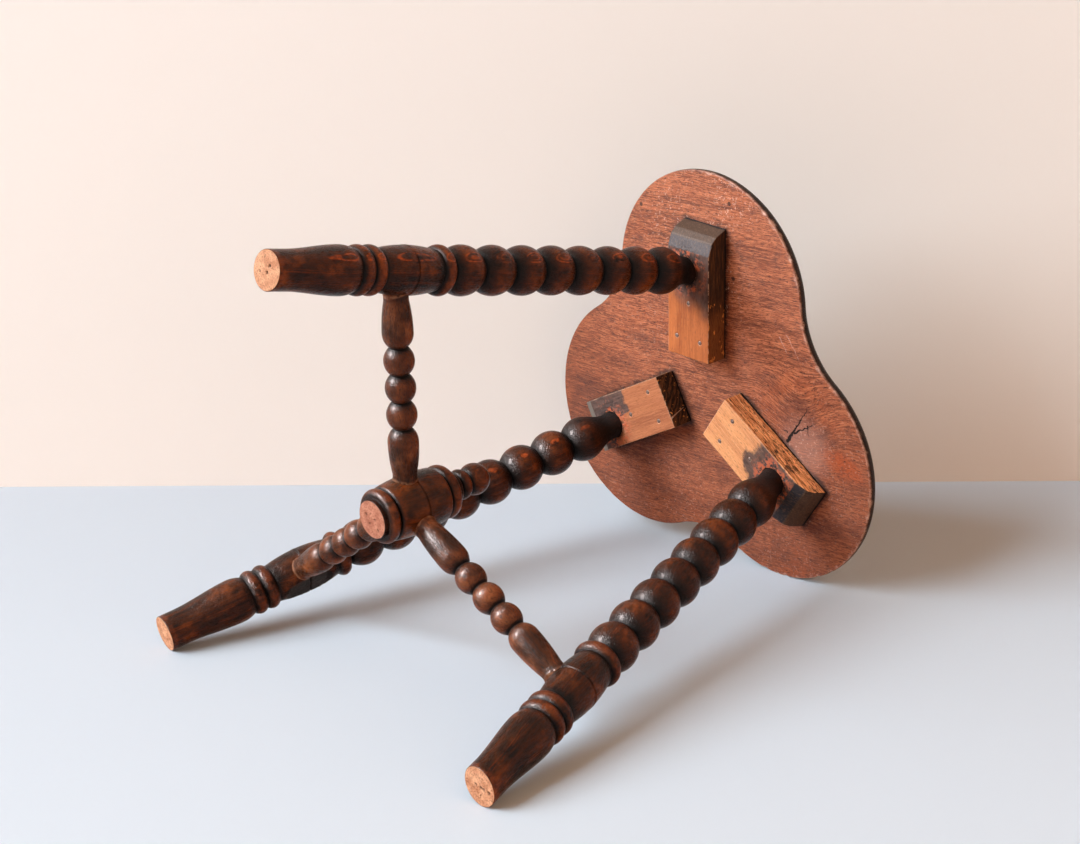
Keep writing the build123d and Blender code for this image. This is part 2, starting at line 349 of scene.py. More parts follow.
def new_tree(name, inputs):
    """An empty geometry tree: its graph, its inputs, and a function that ends it."""
    tree = bpy.data.node_groups.new(name, "GeometryNodeTree")
    for title, kind in {"Geometry": "Geometry", **inputs, "Finish": "Material"}.items():
        tree.interface.new_socket(title, in_out="INPUT", socket_type="NodeSocket" + kind)
    tree.interface.new_socket("Geometry", in_out="OUTPUT", socket_type="NodeSocketGeometry")
    graph = Graph(tree)
    given = graph.node("NodeGroupInput")

    def close(shape):
        shape = graph.node("GeometryNodeRealizeInstances", {}, {"Geometry": shape})
        shape = graph.node("GeometryNodeSetMaterial", {}, {
            "Geometry": shape, "Material": given["Finish"]})
        graph.node("NodeGroupOutput", {}, {"Geometry": shape})
        print("tree", name, "has", len(tree.nodes), "nodes")
        return tree

    return graph, given, close


def lathe_tree():
    """Geometry Nodes that spin a string of radii into a closed turning."""
    graph, given, close = new_tree("Lathe", {
        "Facets": "Int", "Out of Round": "Float", "Bump Size": "Float", "Seed": "Float"})
    axis = graph.node("GeometryNodeMeshToCurve", {}, {"Mesh": given["Geometry"]})
    ring = graph.node("GeometryNodeCurvePrimitiveCircle", {}, {
        "Resolution": given["Facets"], "Radius": 1.0,
    })["Curve"]
    named = graph.node("GeometryNodeInputNamedAttribute", {"data_type": "FLOAT"}, {
        "Name": "radius_here"})
    spun = graph.node("GeometryNodeCurveToMesh", {}, {
        "Curve": axis, "Profile Curve": ring, "Scale": named["Attribute"], "Fill Caps": False,
    })
    where = graph.node("GeometryNodeInputPosition")
    lumps = graph.node("ShaderNodeTexNoise", {"noise_dimensions": "4D"}, {
        "Vector": where, "W": given["Seed"], "Scale": given["Bump Size"],
        "Detail": 1.0,
    })
    push = (lumps - 0.5) * given["Out of Round"]
    flat = stretched(where, (1, 1, 0))
    offset = graph.vector("SCALE", graph.vector("NORMALIZE", flat), Scale=push)
    spun = graph.node("GeometryNodeSetPosition", {}, {"Geometry": spun, "Offset": offset})
    spun = graph.node("GeometryNodeSetShadeSmooth", {}, {"Geometry": spun, "Shade Smooth": True})
    return close(spun)


def into_scene(name, data):
    """A new object of the scene."""
    made = bpy.data.objects.new(name, data)
    bpy.context.scene.collection.objects.link(made)
    return made


def baked(name, holder):
    """The plain mesh that a holder's modifiers make; the holder itself goes."""
    bpy.context.view_layer.update()
    graph = bpy.context.evaluated_depsgraph_get()
    made = bpy.data.meshes.new_from_object(holder.evaluated_get(graph))
    made.name = name
    bpy.data.objects.remove(holder)
    return made


def through_tree(name, mesh, tree, values):
    """The plain mesh that a geometry tree makes of a mesh."""
    holder = into_scene(name + "_blank", mesh)
    modifier = holder.modifiers.new("nodes", "NODES")
    modifier.node_group = tree
    for item in tree.interface.items_tree:
        if item.in_out == "INPUT" and item.name in values:
            modifier[item.identifier] = values[item.name]
    return baked(name, holder)


lathe = lathe_tree()

# %% [markdown]
# ## Outlines, stretch by stretch
# A turner thinks in beads, cones and hollows. The class below draws an outline the same
# way: each call adds one stretch to the string of rows. The deepest hollows and the
# sharpest crests are then found by comparing each radius with the average round it, so
# that dirt, painted shade and wear know where to go. A third mark, the depth, says how far
# a row lies below the highest row near it, and painted shade darkens the stain there. A
# curve drawn by hand would be quicker for one bead, but these turnings repeat the same few
# shapes many times.

# %% Outlines

row_gap = 0.55
groove_half_width = 0.8
groove_steps = np.array([-1.15, -1, -0.7, -0.35, -0.12, 0.12, 0.35, 0.7, 1, 1.15])


class Outline:
    """The rows of a turning: places along its axis and their radii, in millimetres.

    The first rows make the sawn end: a flat face and a slightly eased edge.
    """

    def __init__(self, start, radius):
        self.rows = [(start, 0.0)]
        for share in np.linspace(0.08, 0.94, 13):
            self.rows.append((start, radius * float(share)))
        self.rows += [(start, radius - 0.5), (start + 0.12, radius - 0.18)]
        self.rows.append((start + 0.45, radius))
        self.cut_rows = len(self.rows) - 2

    @property
    def at(self):
        return self.rows[-1][0]

    def _walk(self, length, run):
        """Add rows at even shares of a stretch; run gives place and radius at a share."""
        count = max(2, math.ceil(length / row_gap))
        self.rows += [run(step / count) for step in range(1, count + 1)]

    def cone(self, length, radius):
        """A straight stretch to a new radius."""
        at, old = self.rows[-1]
        self._walk(length, lambda t: (at + t * length, old + t * (radius - old)))

    def flare(self, length, radius):
        """An S-shaped stretch that starts and ends parallel to the axis."""
        at, old = self.rows[-1]
        self._walk(length, lambda t: (at + t * length, old + t * t * (3 - 2 * t) * (radius - old)))

    def bead(self, length, crest, waist):
        """A round swelling that ends at the waist radius."""
        at, old = self.rows[-1]
        a, b, c = complex(at, old), complex(at + length / 2, crest), complex(at + length, waist)
        w = (c - a) / (b - a)
        centre = a - (a - b) * (w - abs(w) ** 2) / 2j / w.imag
        spokes = (a - centre, b - centre, c - centre)
        turns = np.unwrap([math.atan2(p.imag, p.real) for p in spokes])
        reach = abs(a - centre)

        def run(t):
            angle = turns[0] + t * (turns[2] - turns[0])
            return centre.real + reach * math.cos(angle), centre.imag + reach * math.sin(angle)

        self._walk(reach * abs(turns[2] - turns[0]), run)

    def round_in(self, length, radius):
        """Turn inwards from parallel to the axis."""
        at, old = self.rows[-1]
        drop = old - radius
        bend = (length**2 + drop**2) / (2 * drop)
        full = math.atan2(length, bend - drop)
        self._walk(bend * full, lambda t: (
            at + bend * math.sin(t * full), old - bend * (1 - math.cos(t * full))))

    def round_out(self, length, radius):
        """Swell outwards until parallel to the axis."""
        at, old = self.rows[-1]
        drop = radius - old
        bend = (length**2 + drop**2) / (2 * drop)
        full = math.atan2(length, bend - drop)
        self._walk(bend * full, lambda t: (
            at + length - bend * math.sin((1 - t) * full),
            radius - bend * (1 - math.cos((1 - t) * full))))

    def ball(self, crest):
        """Close the turning with a ball of this radius."""
        at, old = self.rows[-1]
        centre = at + math.sqrt(crest**2 - old**2)
        first = math.atan2(old, at - centre)
        self._walk(crest * first, lambda t: (
            centre + crest * math.cos(first * (1 - t)), crest * math.sin(first * (1 - t))))

    def close(self):
        """End on a flat face, square to the axis."""
        at, old = self.rows[-1]
        self.rows += [(at, old * share) for share in (0.9, 0.6, 0.3, 0.0)]

    def groove(self, at, half_width=groove_half_width, depth=1.1):
        """A fine scribed line round a barrel, with a small lip raised on each side."""
        places, radii = np.array(self.rows).T
        extra = at + half_width * groove_steps
        first, last = np.searchsorted(places, [extra[0], extra[-1]])
        extra_radii = np.interp(extra, places[self.cut_rows:], radii[self.cut_rows:])
        lip = 0.2 * np.exp(-(((np.abs(extra - at) / half_width - 1) / 0.15) ** 2))
        cut = depth * np.clip(1 - np.abs(extra - at) / half_width, 0, 1)
        lines = list(zip(extra.tolist(), (extra_radii + lip - cut).tolist()))
        self.rows = self.rows[:first] + lines + self.rows[last:]

    def marks(self):
        """How hollow, how crested and how far below its crest each row is, from 0 to 1."""
        places, radii = np.array(self.rows).T
        places = places + np.arange(len(places)) * 1e-6
        even = np.arange(places[0] - 12, places[-1] + 12, 0.1)
        even_radii = np.interp(even, places, radii, left=radii[1:8].max(), right=radii[-1])
        reach = np.arange(-60, 61) * 0.1

        def average(width):
            weight = np.exp(-((reach / width) ** 2) / 2)
            return np.convolve(np.pad(even_radii, 60, "edge"), weight / weight.sum(), "valid")

        near = np.interp(places, even, average(0.9))
        wide = np.interp(places, even, average(2.2))
        hollow = np.clip((wide - near) / 0.9, 0, 1)
        crest = np.clip((near - wide) / 0.35, 0, 1)
        around = np.abs(places[:, None] - even[None, ::5]) < 8
        envelope = np.where(around, even_radii[None, ::5], 0).max(1)
        depth = np.clip((envelope - radii) / 7.0, 0, 1)
        return hollow, crest, depth


trial = Outline(0.0, 10.0)
trial.bead(20.0, 14.0, 10.0)
print("a bead of 20 mm takes", len(trial.rows) - trial.cut_rows - 2, "rows")

# %% [markdown]
# ## From an outline to a piece
# The string goes through the lathe while it still stands on its own axis, where out of
# round means the same all the way up. Then the piece is carried to its place. Each point
# remembers where it lay in the plank, measured from the heart of the tree, which is what
# the finish reads.

# %% Spin an outline and carry it to its place


def string_mesh(name, outline):
    """A string of points on the axis that carries the outline."""
    places, radii = np.array(outline.rows).T
    places = places + np.arange(len(places)) * 1e-4
    mesh = bpy.data.meshes.new(name)
    edges = [(n, n + 1) for n in range(len(places) - 1)]
    mesh.from_pydata([(0, 0, place * mm) for place in places], edges, [])
    hollow, crest, depth = outline.marks()
    cut = np.zeros(len(places))
    cut[:outline.cut_rows] = 1
    hollow[:outline.cut_rows + 1] = 0
    crest[:outline.cut_rows + 1] = 0
    carry(mesh, radius_here=radii * mm, hollow=hollow, crest=crest, depth=depth, cut_end=cut)
    return mesh


def points_of(mesh, kind="co"):
    """The places of the vertices as an array, or the directions in which they face."""
    flat = np.zeros(len(mesh.vertices) * 3, np.float32)
    mesh.vertices.foreach_get(kind, flat)
    return flat.reshape(-1, 3).astype(float)


def put_points(mesh, points):
    """Move the vertices of a mesh to these places."""
    mesh.vertices.foreach_set("co", points.astype(np.float32).ravel())
    mesh.update()


def carry(mesh, **marks):
    """Give each vertex its values or vectors, each under a name."""
    for name, values in marks.items():
        one = values.ndim == 1
        layer = mesh.attributes.new(name, "FLOAT" if one else "FLOAT_VECTOR", "POINT")
        layer.data.foreach_set("value" if one else "vector", values.astype(np.float32).ravel())


def tidy_mesh(mesh):
    """Close the poles and turn every face outwards."""
    shell = bmesh.new()
    shell.from_mesh(mesh)
    bmesh.ops.remove_doubles(shell, verts=shell.verts, dist=2e-6)
    bmesh.ops.recalc_face_normals(shell, faces=shell.faces)
    shell.to_mesh(mesh)
    shell.free()


def show(mesh, name, slot, *nodes):
    """Link a finished mesh as a piece that stands for these CAD nodes."""
    piece = into_scene(name, mesh)
    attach(piece, "root")
    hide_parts(*nodes)
    mesh.calc_loop_triangles()
    print(name, "has", len(mesh.loop_triangles), "triangles")
    return piece


def axes(origin, along, side):
    """The matrix of a piece whose own Z runs along it and whose X points to one side."""
    z = along.normalized()
    y = z.cross(side).normalized()
    x = y.cross(z)
    turn = Matrix((x, y, z)).transposed().to_4x4()
    return Matrix.Translation((stool_foot + origin) * mm) @ turn


def noise_at(places, scale, seed):
    """Smooth noise from -1 to 1 at each place."""
    shift = Vector((seed * 7.3, seed * 3.1, seed * 5.7))
    return np.array([noise.noise(Vector(p) * scale + shift) for p in places])


def end_holes(local, holes):
    """Push small holes into the cut end: each has an angle, a reach and a radius."""
    dark = np.zeros(len(local))
    for angle, reach, radius in holes:
        x = reach * math.cos(math.radians(angle))
        y = reach * math.sin(math.radians(angle))
        away = np.hypot(local[:, 0] - x, local[:, 1] - y)
        dark = np.maximum(dark, np.clip(1.6 - away / radius, 0, 1) * (local[:, 2] < 0.2))
    local[:, 2] += dark * 1.4
    return dark


def turn_piece(name, outline, matrix, heart, seed, shape=None, facets=96,
               out_of_round=0.35, holes=(), finish=turned_wood, craze=0.0):
    """Turn an outline, shape it by hand and carry it to its place."""
    mesh = through_tree(name, string_mesh(name, outline), lathe, {
        "Facets": facets, "Out of Round": out_of_round * mm, "Bump Size": 22.0,
        "Seed": float(seed), "Finish": finish,
    })
    tidy_mesh(mesh)
    local = points_of(mesh) / mm
    angle, reach = heart
    pith = reach * np.array([math.cos(angle), math.sin(angle), 0])
    grain = (local - pith) * mm + np.array([0, 0, seed * 0.37])
    hole = end_holes(local, holes)
    scorch = glue = np.zeros(len(local))
    if shape:
        local, scorch, glue = shape(local)
    craze = np.full(len(local), craze)
    carry(mesh, grain=grain, scorch=scorch, glue=glue, hole=hole, craze=craze)
    put_points(mesh, local * mm)
    mesh.transform(matrix)
    return show(mesh, name, "turned_wood", name)


sample = np.array([[3.0, 0.0, 0.0], [9.0, 0.0, 0.0]])
print("an end hole sinks its middle and not the rest:", end_holes(sample, [(0, 3.0, 0.7)]))

# %% [markdown]
# ## Three legs
# Each leg starts at a plain foot, swells to a shoulder, and carries two rings, a barrel
# that takes the stretcher, one ring, eight balls, and a neck that goes into its block. The
# stool is hand-made, so each leg splays and stands a little differently. The feet were
# sawn after the stool was put together: the front one level with the floor and the
# others nearly square. The saw cut is a small tilt of the first rows. The right leg's
# barrel is rubbed flat on one side; the flat is cut in mesh code, and the scribed line is
# taken down with it so that it still runs across.

# %% Legs


stations = {
    "front": dict(azimuth=270.0, foot_azimuth=267.4, reach=222.0, tilt=0.0, block_turn=4.2),
    "right": dict(azimuth=30.0, foot_azimuth=24.6, reach=211.2, tilt=12.0, block_turn=2.2),
    "left": dict(azimuth=150.0, foot_azimuth=152.3, reach=207.6, tilt=14.0, block_turn=1.7),
}
block_face = 400.0
socket_along, socket_across = 72.5, -3.0
head_reach = 102.5
foot_radius, foot_straight = 14.1, 14.0
shoulder_height, shoulder_radius, shoulder_round = 60.0, 17.5, 11.0
ring_length, ring_radius, crease_radius = 10.5, 17.7, 14.8
upper_ring_radius, upper_crease_radius = 18.2, 13.5
stretcher_height = 110.2
barrel_groove = 118.5
barrel_length, barrel_radius = 53.0, 17.7
ball_pitch, ball_radius, ball_waist = 30.0, 18.4, 10.8
neck_radius, neck_straight, leg_tenon = 11.0, 6.0, 14.0
flat_reach, flat_start, flat_end, flat_groove_depth = 14.6, 96, 138, 1.2


def leg_line(station):
    """The middle of the foot, and the middle of the head at the block's face."""
    rise = foot_radius * math.sin(math.radians(station["tilt"]))
    foot = outward(station["foot_azimuth"], station["reach"], rise)
    return foot, outward(station["azimuth"], head_reach, block_face)


def leg_outline(length):
    """Foot, taper, shoulder, rings, barrel, balls and neck."""
    leg = Outline(0.0, foot_radius)
    leg.cone(foot_straight - leg.at, foot_radius)
    leg.flare(shoulder_height - foot_straight, shoulder_radius)
    leg.round_in(shoulder_round, crease_radius)
    for _ in range(2):
        leg.bead(ring_length, ring_radius, crease_radius)
    groove_at = leg.at + barrel_length / 2
    leg.bead(barrel_length, barrel_radius, crease_radius)
    leg.bead(ring_length, upper_ring_radius, upper_crease_radius)
    leg.cone(1.5, ball_waist)
    for _ in range(7):
        leg.bead(ball_pitch, ball_radius, ball_waist)
    leg.round_out(ball_pitch / 2, ball_radius)
    leg.flare(length - neck_straight - leg.at, neck_radius)
    leg.cone(neck_straight + leg_tenon, neck_radius)
    leg.close()
    leg.groove(groove_at)
    return leg


def sole_cut(local, normal):
    """Tilt the lowest rows so that the sole lies square to this direction."""
    slope = -(local[:, 0] * normal.x + local[:, 1] * normal.y) / normal.z
    share = np.clip(1 - local[:, 2] / foot_straight, 0, 1)
    local[:, 2] += slope * share
    return local


def rub_flat(local, angle, reach, start, end):
    """Wear one side of a turning flat between two heights; says how dark it became."""
    way = np.array([math.cos(angle), math.sin(angle)])
    from_line = np.abs(local[:, 2] - barrel_groove) / groove_half_width
    scribed = flat_groove_depth * np.clip(1 - from_line, 0, 1)
    over = local[:, :2] @ way - reach + scribed
    within = np.clip((local[:, 2] - start) / 5, 0, 1) * np.clip((end - local[:, 2]) / 5, 0, 1)
    worn = np.clip(over, 0, None) * within
    local[:, :2] -= worn[:, None] * way
    rough = noise_at(local, 0.5, 12)
    worn_share = np.clip(worn * 2.5, 0, 1)
    crust = np.clip(1 - np.abs(over + 0.6) / 1.2, 0, 1) * within * np.clip(rough * 3, 0, 1)
    local[:, :2] += (crust * 0.5)[:, None] * way
    return np.maximum(worn_share * 0.85, crust)


foot_holes = {
    "front": [(163, 3.5, 0.7), (-17, 1.0, 0.9), (-17, 3.6, 0.8), (-17, 8.5, 1.1), (60, 6.0, 0.5)],
    "right": [(60, 4.0, 0.6), (40, 6.0, 0.6), (25, 8.0, 0.6), (-80, 5.0, 0.5)],
    "left": [(160, 1.5, 0.8), (30, 4.0, 1.0), (250, 7.0, 0.5), (-30, 9.0, 0.5)],
}
hearts = {
    "front": (math.radians(-60), 34.0),
    "right": (math.radians(165), 25.2),
    "left": (math.radians(42), 23.8),
}
crazing = {"front": 0.35, "right": 0.7, "left": 0.2}
for number, (key, station) in enumerate(stations.items()):
    foot, head = leg_line(station)
    along = head - foot
    splay = Vector((-along.x, -along.y, 0)).normalized()
    place = axes(foot, along, splay)
    tilt = math.radians(station["tilt"])
    sole = up * math.cos(tilt) - splay * math.sin(tilt)
    own_sole = place.to_3x3().inverted() @ sole

    def leg_shape(local):
        # painted shade: the neck darkens towards the block it goes into
        dark = np.clip((local[:, 2] - along.length + 50) / 42, 0, 1) * 0.9
        if key == "right":
            flat = rub_flat(local, math.radians(-110), flat_reach, flat_start, flat_end)
            dark = np.maximum(dark, flat)
        return sole_cut(local, own_sole), dark, np.zeros(len(local))

    turn_piece(
        "leg_" + key, leg_outline(along.length), place, hearts[key], number + 1,
        leg_shape, holes=foot_holes[key], craze=crazing[key],
    )

# %% [markdown]
# ## Three stretchers
# A stretcher is a slim turning: a swell, three bobbins and another swell, with a tenon
# at each end that is glued into the hub and into the leg. A thin uneven ring of glue was
# squeezed out at each joint. It follows the round of the barrel, so it is raised where a
# point lies just outside the barrel's radius. The glue could be a piece of its own, but it
# is so thin that raising the wood's own skin looks the same and leaves no seam.

# %% Stretchers

hub_radius = 22.3
bar_end_radius, bar_end_straight, bar_tenon = 8.9, 4.0, 12.0
bobbin_pitch, bobbin_radius, bobbin_waist = 20.5, 11.1, 6.2
swell_radius, swell_round = 11.2, 10.5
glue_offset, glue_width = 0.3, 0.9


def stretcher_outline(length):
    """Swell, three bobbins and swell, from the hub's tenon to the leg's tenon."""
    hub_face = hub_radius + bar_end_straight
    leg_face = length - barrel_radius - bar_end_straight
    row_start = (hub_face + leg_face - 3 * bobbin_pitch) / 2
    row_end = row_start + 3 * bobbin_pitch
    bar = Outline(hub_radius - bar_tenon, bar_end_radius)
    bar.cone(hub_face - bar.at, bar_end_radius)
    bar.round_out(row_start - swell_round - bar.at, swell_radius)
    bar.round_in(swell_round, bobbin_waist)
    for _ in range(3):
        bar.bead(bobbin_pitch, bobbin_radius, bobbin_waist)
    bar.round_out(row_end + swell_round - bar.at, swell_radius)
    bar.round_in(leg_face - bar.at, bar_end_radius)
    bar.cone(length - barrel_radius + bar_tenon - bar.at, bar_end_radius)
    bar.close()
    return bar


def bar_shape(length):
    """Thin rings of squeezed-out glue where a stretcher enters the hub and the leg, and painted
    shade next to them.
    """
    def shape(local):
        from_hub = np.hypot(local[:, 2], local[:, 1]) - hub_radius
        from_leg = np.hypot(length - local[:, 2], local[:, 1]) - barrel_radius + glue_offset
        away = np.minimum(np.abs(from_hub - glue_offset), np.abs(from_leg - glue_offset))
        glue = np.clip(1.5 - away / glue_width, 0, 1)
        lumpy = glue * (0.35 + 0.5 * np.clip(noise_at(local, 0.4, 15), -0.5, 1))
        sideways = local[:, :2] / np.maximum(np.linalg.norm(local[:, :2], axis=1), 1e-6)[:, None]
        local[:, :2] += sideways * lumpy[:, None]
        # painted shade: a darker band next to the hub and next to the leg
        dark = np.clip(1 - np.minimum(np.abs(from_hub - 2.5), np.abs(from_leg - 2.5)) / 2.5, 0, 1)
        return local, dark * 0.5, glue

    return shape


bar_hearts = {"front": -47.0, "right": -8.0, "left": 48.0}
for number, (key, station) in enumerate(stations.items()):
    foot, head = leg_line(station)
    start = Vector((0, 0, stretcher_height))
    end = foot + (head - foot) * ((stretcher_height - foot.z) / (head.z - foot.z))
    turn_piece(
        "stretcher_" + key, stretcher_outline((end - start).length),
        axes(start, end - start, up), (math.radians(bar_hearts[key]), 23.6), number + 5,
        bar_shape((end - start).length), facets=72, out_of_round=0.25, finish=worn_turning,
    )

# %% [markdown]
# ## The hub
# The hub hangs in the middle: bare end grain below, then a ring, a barrel with a scribed
# line and three sockets, a collar, a neck, a bead and a ball. It goes through the same
# lathe as the legs. The sockets aren't bored here, because the stretchers' ends fill them
# and hide them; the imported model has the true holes.

# %% Hub

hub_end_radius, hub_end_length = 14.5, 3.5
hub_ring_length, hub_ring_radius, hub_crease_radius = 9.0, 20.5, 15.8
hub_barrel_length, hub_barrel_round, hub_shoulder = 47.0, 3.2, 20.8
hub_socket_rise = 19.2
collar_length, collar_radius, neck_length, neck_narrow = 10.5, 20.4, 7.5, 8.0
finial_bead_length, finial_bead_radius, finial_radius = 9.5, 11.5, 12.0
hub_outline = Outline(0.0, hub_end_radius)
hub_outline.cone(hub_end_length - hub_outline.at, hub_end_radius)
hub_outline.bead(hub_ring_length, hub_ring_radius, hub_crease_radius)
groove_at = hub_outline.at + hub_barrel_length / 2
hub_outline.round_out(hub_barrel_round, hub_shoulder)
hub_outline.bead(hub_barrel_length - 2 * hub_barrel_round, hub_radius, hub_shoulder)
hub_outline.round_in(hub_barrel_round, 17.0)
hub_outline.bead(collar_length, collar_radius, 14.5)
hub_outline.round_in(neck_length, neck_narrow)
hub_outline.bead(finial_bead_length, finial_bead_radius, 8.5)
hub_outline.ball(finial_radius)
hub_outline.groove(groove_at)
hub_height = stretcher_height - hub_socket_rise - hub_ring_length - hub_end_length
turn_piece(
    "hub", hub_outline, axes(Vector((0, 0, hub_height)), up, outward(270)),
    (math.radians(121), 36.0), 9,
    holes=[(-40, 3, 0.7), (100, 5, 0.6), (170, 7, 0.8), (220, 4, 0.5), (20, 9, 0.7)],
    finish=hub_turning,
)

# %% [markdown]
# ## The finish of the seat
# The underside is a red-brown board, never polished: its pores show as short dark dashes
# along the grain, old stains cloud it, and a knot beside the front block has opened in a
# star of cracks. It is painted darker away from its upper lobe, as light falling off, and a
# whitish painted sheen lies near the knot, with pale flecks, partly dust and scratches and
# partly painted sheen, heaviest there and on the upper lobe. Dirt and painted shade darken
# it round the blocks, and two light scratches and three old nail marks are left. The edge
# was polished with the top and has gone nearly black. A painted picture could hold all this,
# but it would blur at the edge, where top and side meet. The board is one piece of wood, so
# one material reads the same grain everywhere, and the mesh only says where the wood is
# bare, chipped, or dirty and shaded.

# %% Seat finish


def distance(first, second):
    """How far one position lies from another."""
    return first.graph.vector("DISTANCE", first, second)["Value"]


def from_point(where, x, y):
    """How far a position lies from a fixed place on the piece, given in millimetres."""
    return distance(where, (x * mm, y * mm, 0))


def crack(where, start, end, width):
    """A dark split from start to end that narrows towards its end."""
    a, b = Vector((*start, 0)) * mm, Vector((*end, 0)) * mm
    run = b - a
    graph = where.graph
    away = graph.vector("SUBTRACT", where, a)
    share = graph.vector("DOT_PRODUCT", away, run / run.length_squared)["Value"]
    share = graph.node("ShaderNodeClamp", {}, {"Value": share})
    nearest = graph.vector("SCALE", run, Scale=share)
    reach = (1.15 - share) * width * mm
    return (distance(away, nearest) / reach).between(1.0, 0.45)


scratch_lines = ((-103.0, 6.0), (-94.0, -14.0)), ((-96.5, 11.0), (-90.0, -2.0))
nail_marks = (-154.8, 103.2), (-90.8, 177.3), (-104.5, 70.6)
knot_cracks = (
    ((-27.0, -37.6), (-65.0, -39.5), 1.6),
    ((-38.0, -39.5), (-63.5, -53.0), 1.0),
    ((-53.0, -46.5), (-45.5, -52.0), 0.9),
    ((-34.0, -34.0), (-31.0, -26.5), 0.7),
)


def seat_finish(name):
    """Red-brown board: bare underneath, polished and dark on the edge and the top."""
    graph, close = new_finish(name)
    here = graph.node("ShaderNodeTexCoord")["Object"]
    flat = stretched(here, (1, 1, 0))
    bare = mark(graph, "bare")
    nick = mark(graph, "nick")
    waver = mottle(flat, 240, 3.0)["Color"]
    ragged = graph.vector("MULTIPLY_ADD", waver, (0.004, 0.004, 0), flat)
    ragged = graph.vector("ADD", ragged, (-0.002, -0.002, 0))
    knot_near = from_point(flat, -50.0, -38.0).between(0.052, 0.004)
    along = graph.node("ShaderNodeMapping", {}, {
        "Vector": here, "Rotation": (0, 0, -math.radians(57))})
    bend = graph.node("ShaderNodeCombineXYZ", {}, {"Y": knot_near * 0.016})
    along = graph.vector("ADD", along, bend)
    sway = mottle(stretched(along, (1, 1, 0.3)), 9, 2.0)["Color"]
    along = graph.vector("MULTIPLY_ADD", sway, (0, 0.010, 0), along)

    pores = mottle(stretched(along, (0.12, 1, 1)), 2200, 2.0, 0.6)
    fibres = mottle(stretched(along, (0.08, 1, 0.6)), 1000, 4.0, 0.65)
    bands = mottle(stretched(along, (0.09, 1, 1)), 55, 3.0)
    clouds = mottle(here, 13, 4.0, 0.6)
    grime = mottle(here, 34, 4.0, 0.65)
    rubs = mottle(here, 520, 3.0, 0.7)

    streaks = mottle(stretched(along, (0.035, 1, 1)), 560, 3.0)
    lobe = from_point(flat, -120.0, 110.0).between(0.085, 0.03)
    halo = knot_near.between(0.1, 0.4) * knot_near.between(0.75, 0.5)
    ember = from_point(stretched(ragged, (1, 0.5, 1)), -46.0, -42.0)
    flame = from_point(stretched(ragged, (1.3, 0.6, 1)), -70.0, -56.0)
    painted_light_falloff = from_point(flat, -140.0, 110.0).between(0.28, 0.11)
    smear = from_point(ragged, 103.0, 146.0).between(0.030, 0.006)
    old_stain = from_point(ragged, -58.0, -66.0).between(0.016, 0.004)
    dirt = mark(graph, "dirt") * (grime.between(0.3, 0.6) * 0.8 + 0.25)
    painted_sheen = from_point(ragged, -34.0, -54.0).between(0.034, 0.008)
    flecks_and_sheen = rubs.between(0.56, 0.68) * (lobe * 0.65 + painted_sheen * 0.3 + 0.2) * clouds.between(0.35, 0.6)

    wood = coated(
        mixed(bands.between(0.35, 0.65), tint(136, 75, 53), tint(180, 104, 72)),
        (fibres.between(0.46, 0.60) * 0.55, (222, 138, 96)),
        (fibres.between(0.47, 0.35) * 0.55, (90, 45, 32)),
        (streaks.between(0.54, 0.62) * 0.42, (78, 38, 28)),
        (clouds.between(0.54, 0.72) * 0.5, (184, 90, 46)),
        (halo * grime.between(0.3, 0.6) * 0.25, (190, 96, 50)),
        (ember.between(0.011, 0.003) * 0.55, (200, 92, 40)),
        (flame.between(0.013, 0.005) * 0.6, (206, 92, 40)),
        (grime.between(0.55, 0.72) * 0.55, (92, 58, 52)),
        (knot_near.between(0.6, 0.9) * 0.45, (92, 52, 46)),
        # painted light falloff: the board darkens away from its upper lobe
        ((1 - painted_light_falloff) * 0.55, (112, 58, 38)),
        (smear * streaks.between(0.36, 0.56) * 0.55, (84, 50, 44)),
        (old_stain * grime.between(0.35, 0.55) * 0.6, (82, 60, 58)),
        (pores.between(0.47, 0.38) * 0.8, (62, 31, 25)),
        # dirt and painted shade on the board round each block
        (dirt.between(0.2, 0.9) * 0.8, (44, 30, 28)),
        # painted sheen: a whitish patch near the knot
        (painted_sheen * 0.22, (214, 176, 164)),
        # pale flecks: partly dust and scratches, partly painted sheen, heaviest on the upper lobe
        # and under the painted sheen
        (flecks_and_sheen, (236, 190, 168)),
    )
    for start, end in scratch_lines:
        wood = coated(wood, (crack(ragged, start, end, 0.6) * 0.5, (214, 176, 160)))
    split = crack(ragged, *knot_cracks[0])
    for start, end, width in knot_cracks[1:]:
        split = split.either(crack(ragged, start, end, width))
    wood = coated(wood, (split, (9, 6, 6)))
    for place in nail_marks:
        spot = from_point(flat, *place).between(0.0021, 0.0013)
        wood = coated(wood, (spot * 0.85, (44, 30, 28)))

    varnish = coated(
        mixed(grime.between(0.35, 0.65), tint(17, 10, 6), tint(38, 22, 13)),
        (fibres.between(0.45, 0.7) * 0.4, (88, 48, 28)),
    )
    skin = coated(
        mixed(bare, varnish, wood),
        (nick * rubs.between(0.3, 0.5), (214, 168, 148)),
    )

    relief = pores.between(0.3, 0.5) * 0.8 + fibres * 0.5 - split * 3.0 + rubs * 0.2
    return close({
        "Base Color": skin,
        "Roughness": mixed_value(bare, grime * 0.2 + 0.36, fibres * 0.3 + 0.32),
        "Specular IOR Level": 0.12,
    }, relief, 0.4, 0.0004)


seat_wood = seat_finish("red_brown_board")

# %% [markdown]
# ## The seat
# Three round lobes joined by three hollows make the trefoil. Its upper edge is well
# rounded, and its lower edge has lost small chips over the years. The board is built like
# a bowl: rings of points run from the middle of the underside out to the rim, up round
# the edge and back over the top. A boolean of circles would give the same outline, but
# rings put many points at the rim, where the chips are.

# %% Trefoil

seat_underside = 420.0
seat_thickness = 14.0
edge_round = 12.0
arris = 0.8
lobe_reach, lobe_radius = 83.4, 96.7
waist_reach = 122.1
seat_turn = 1.4
block_length, block_width = 107.5, 44.0
rim_count, rim_band = 720, 16.0
under_rows, top_rows = 64, 30


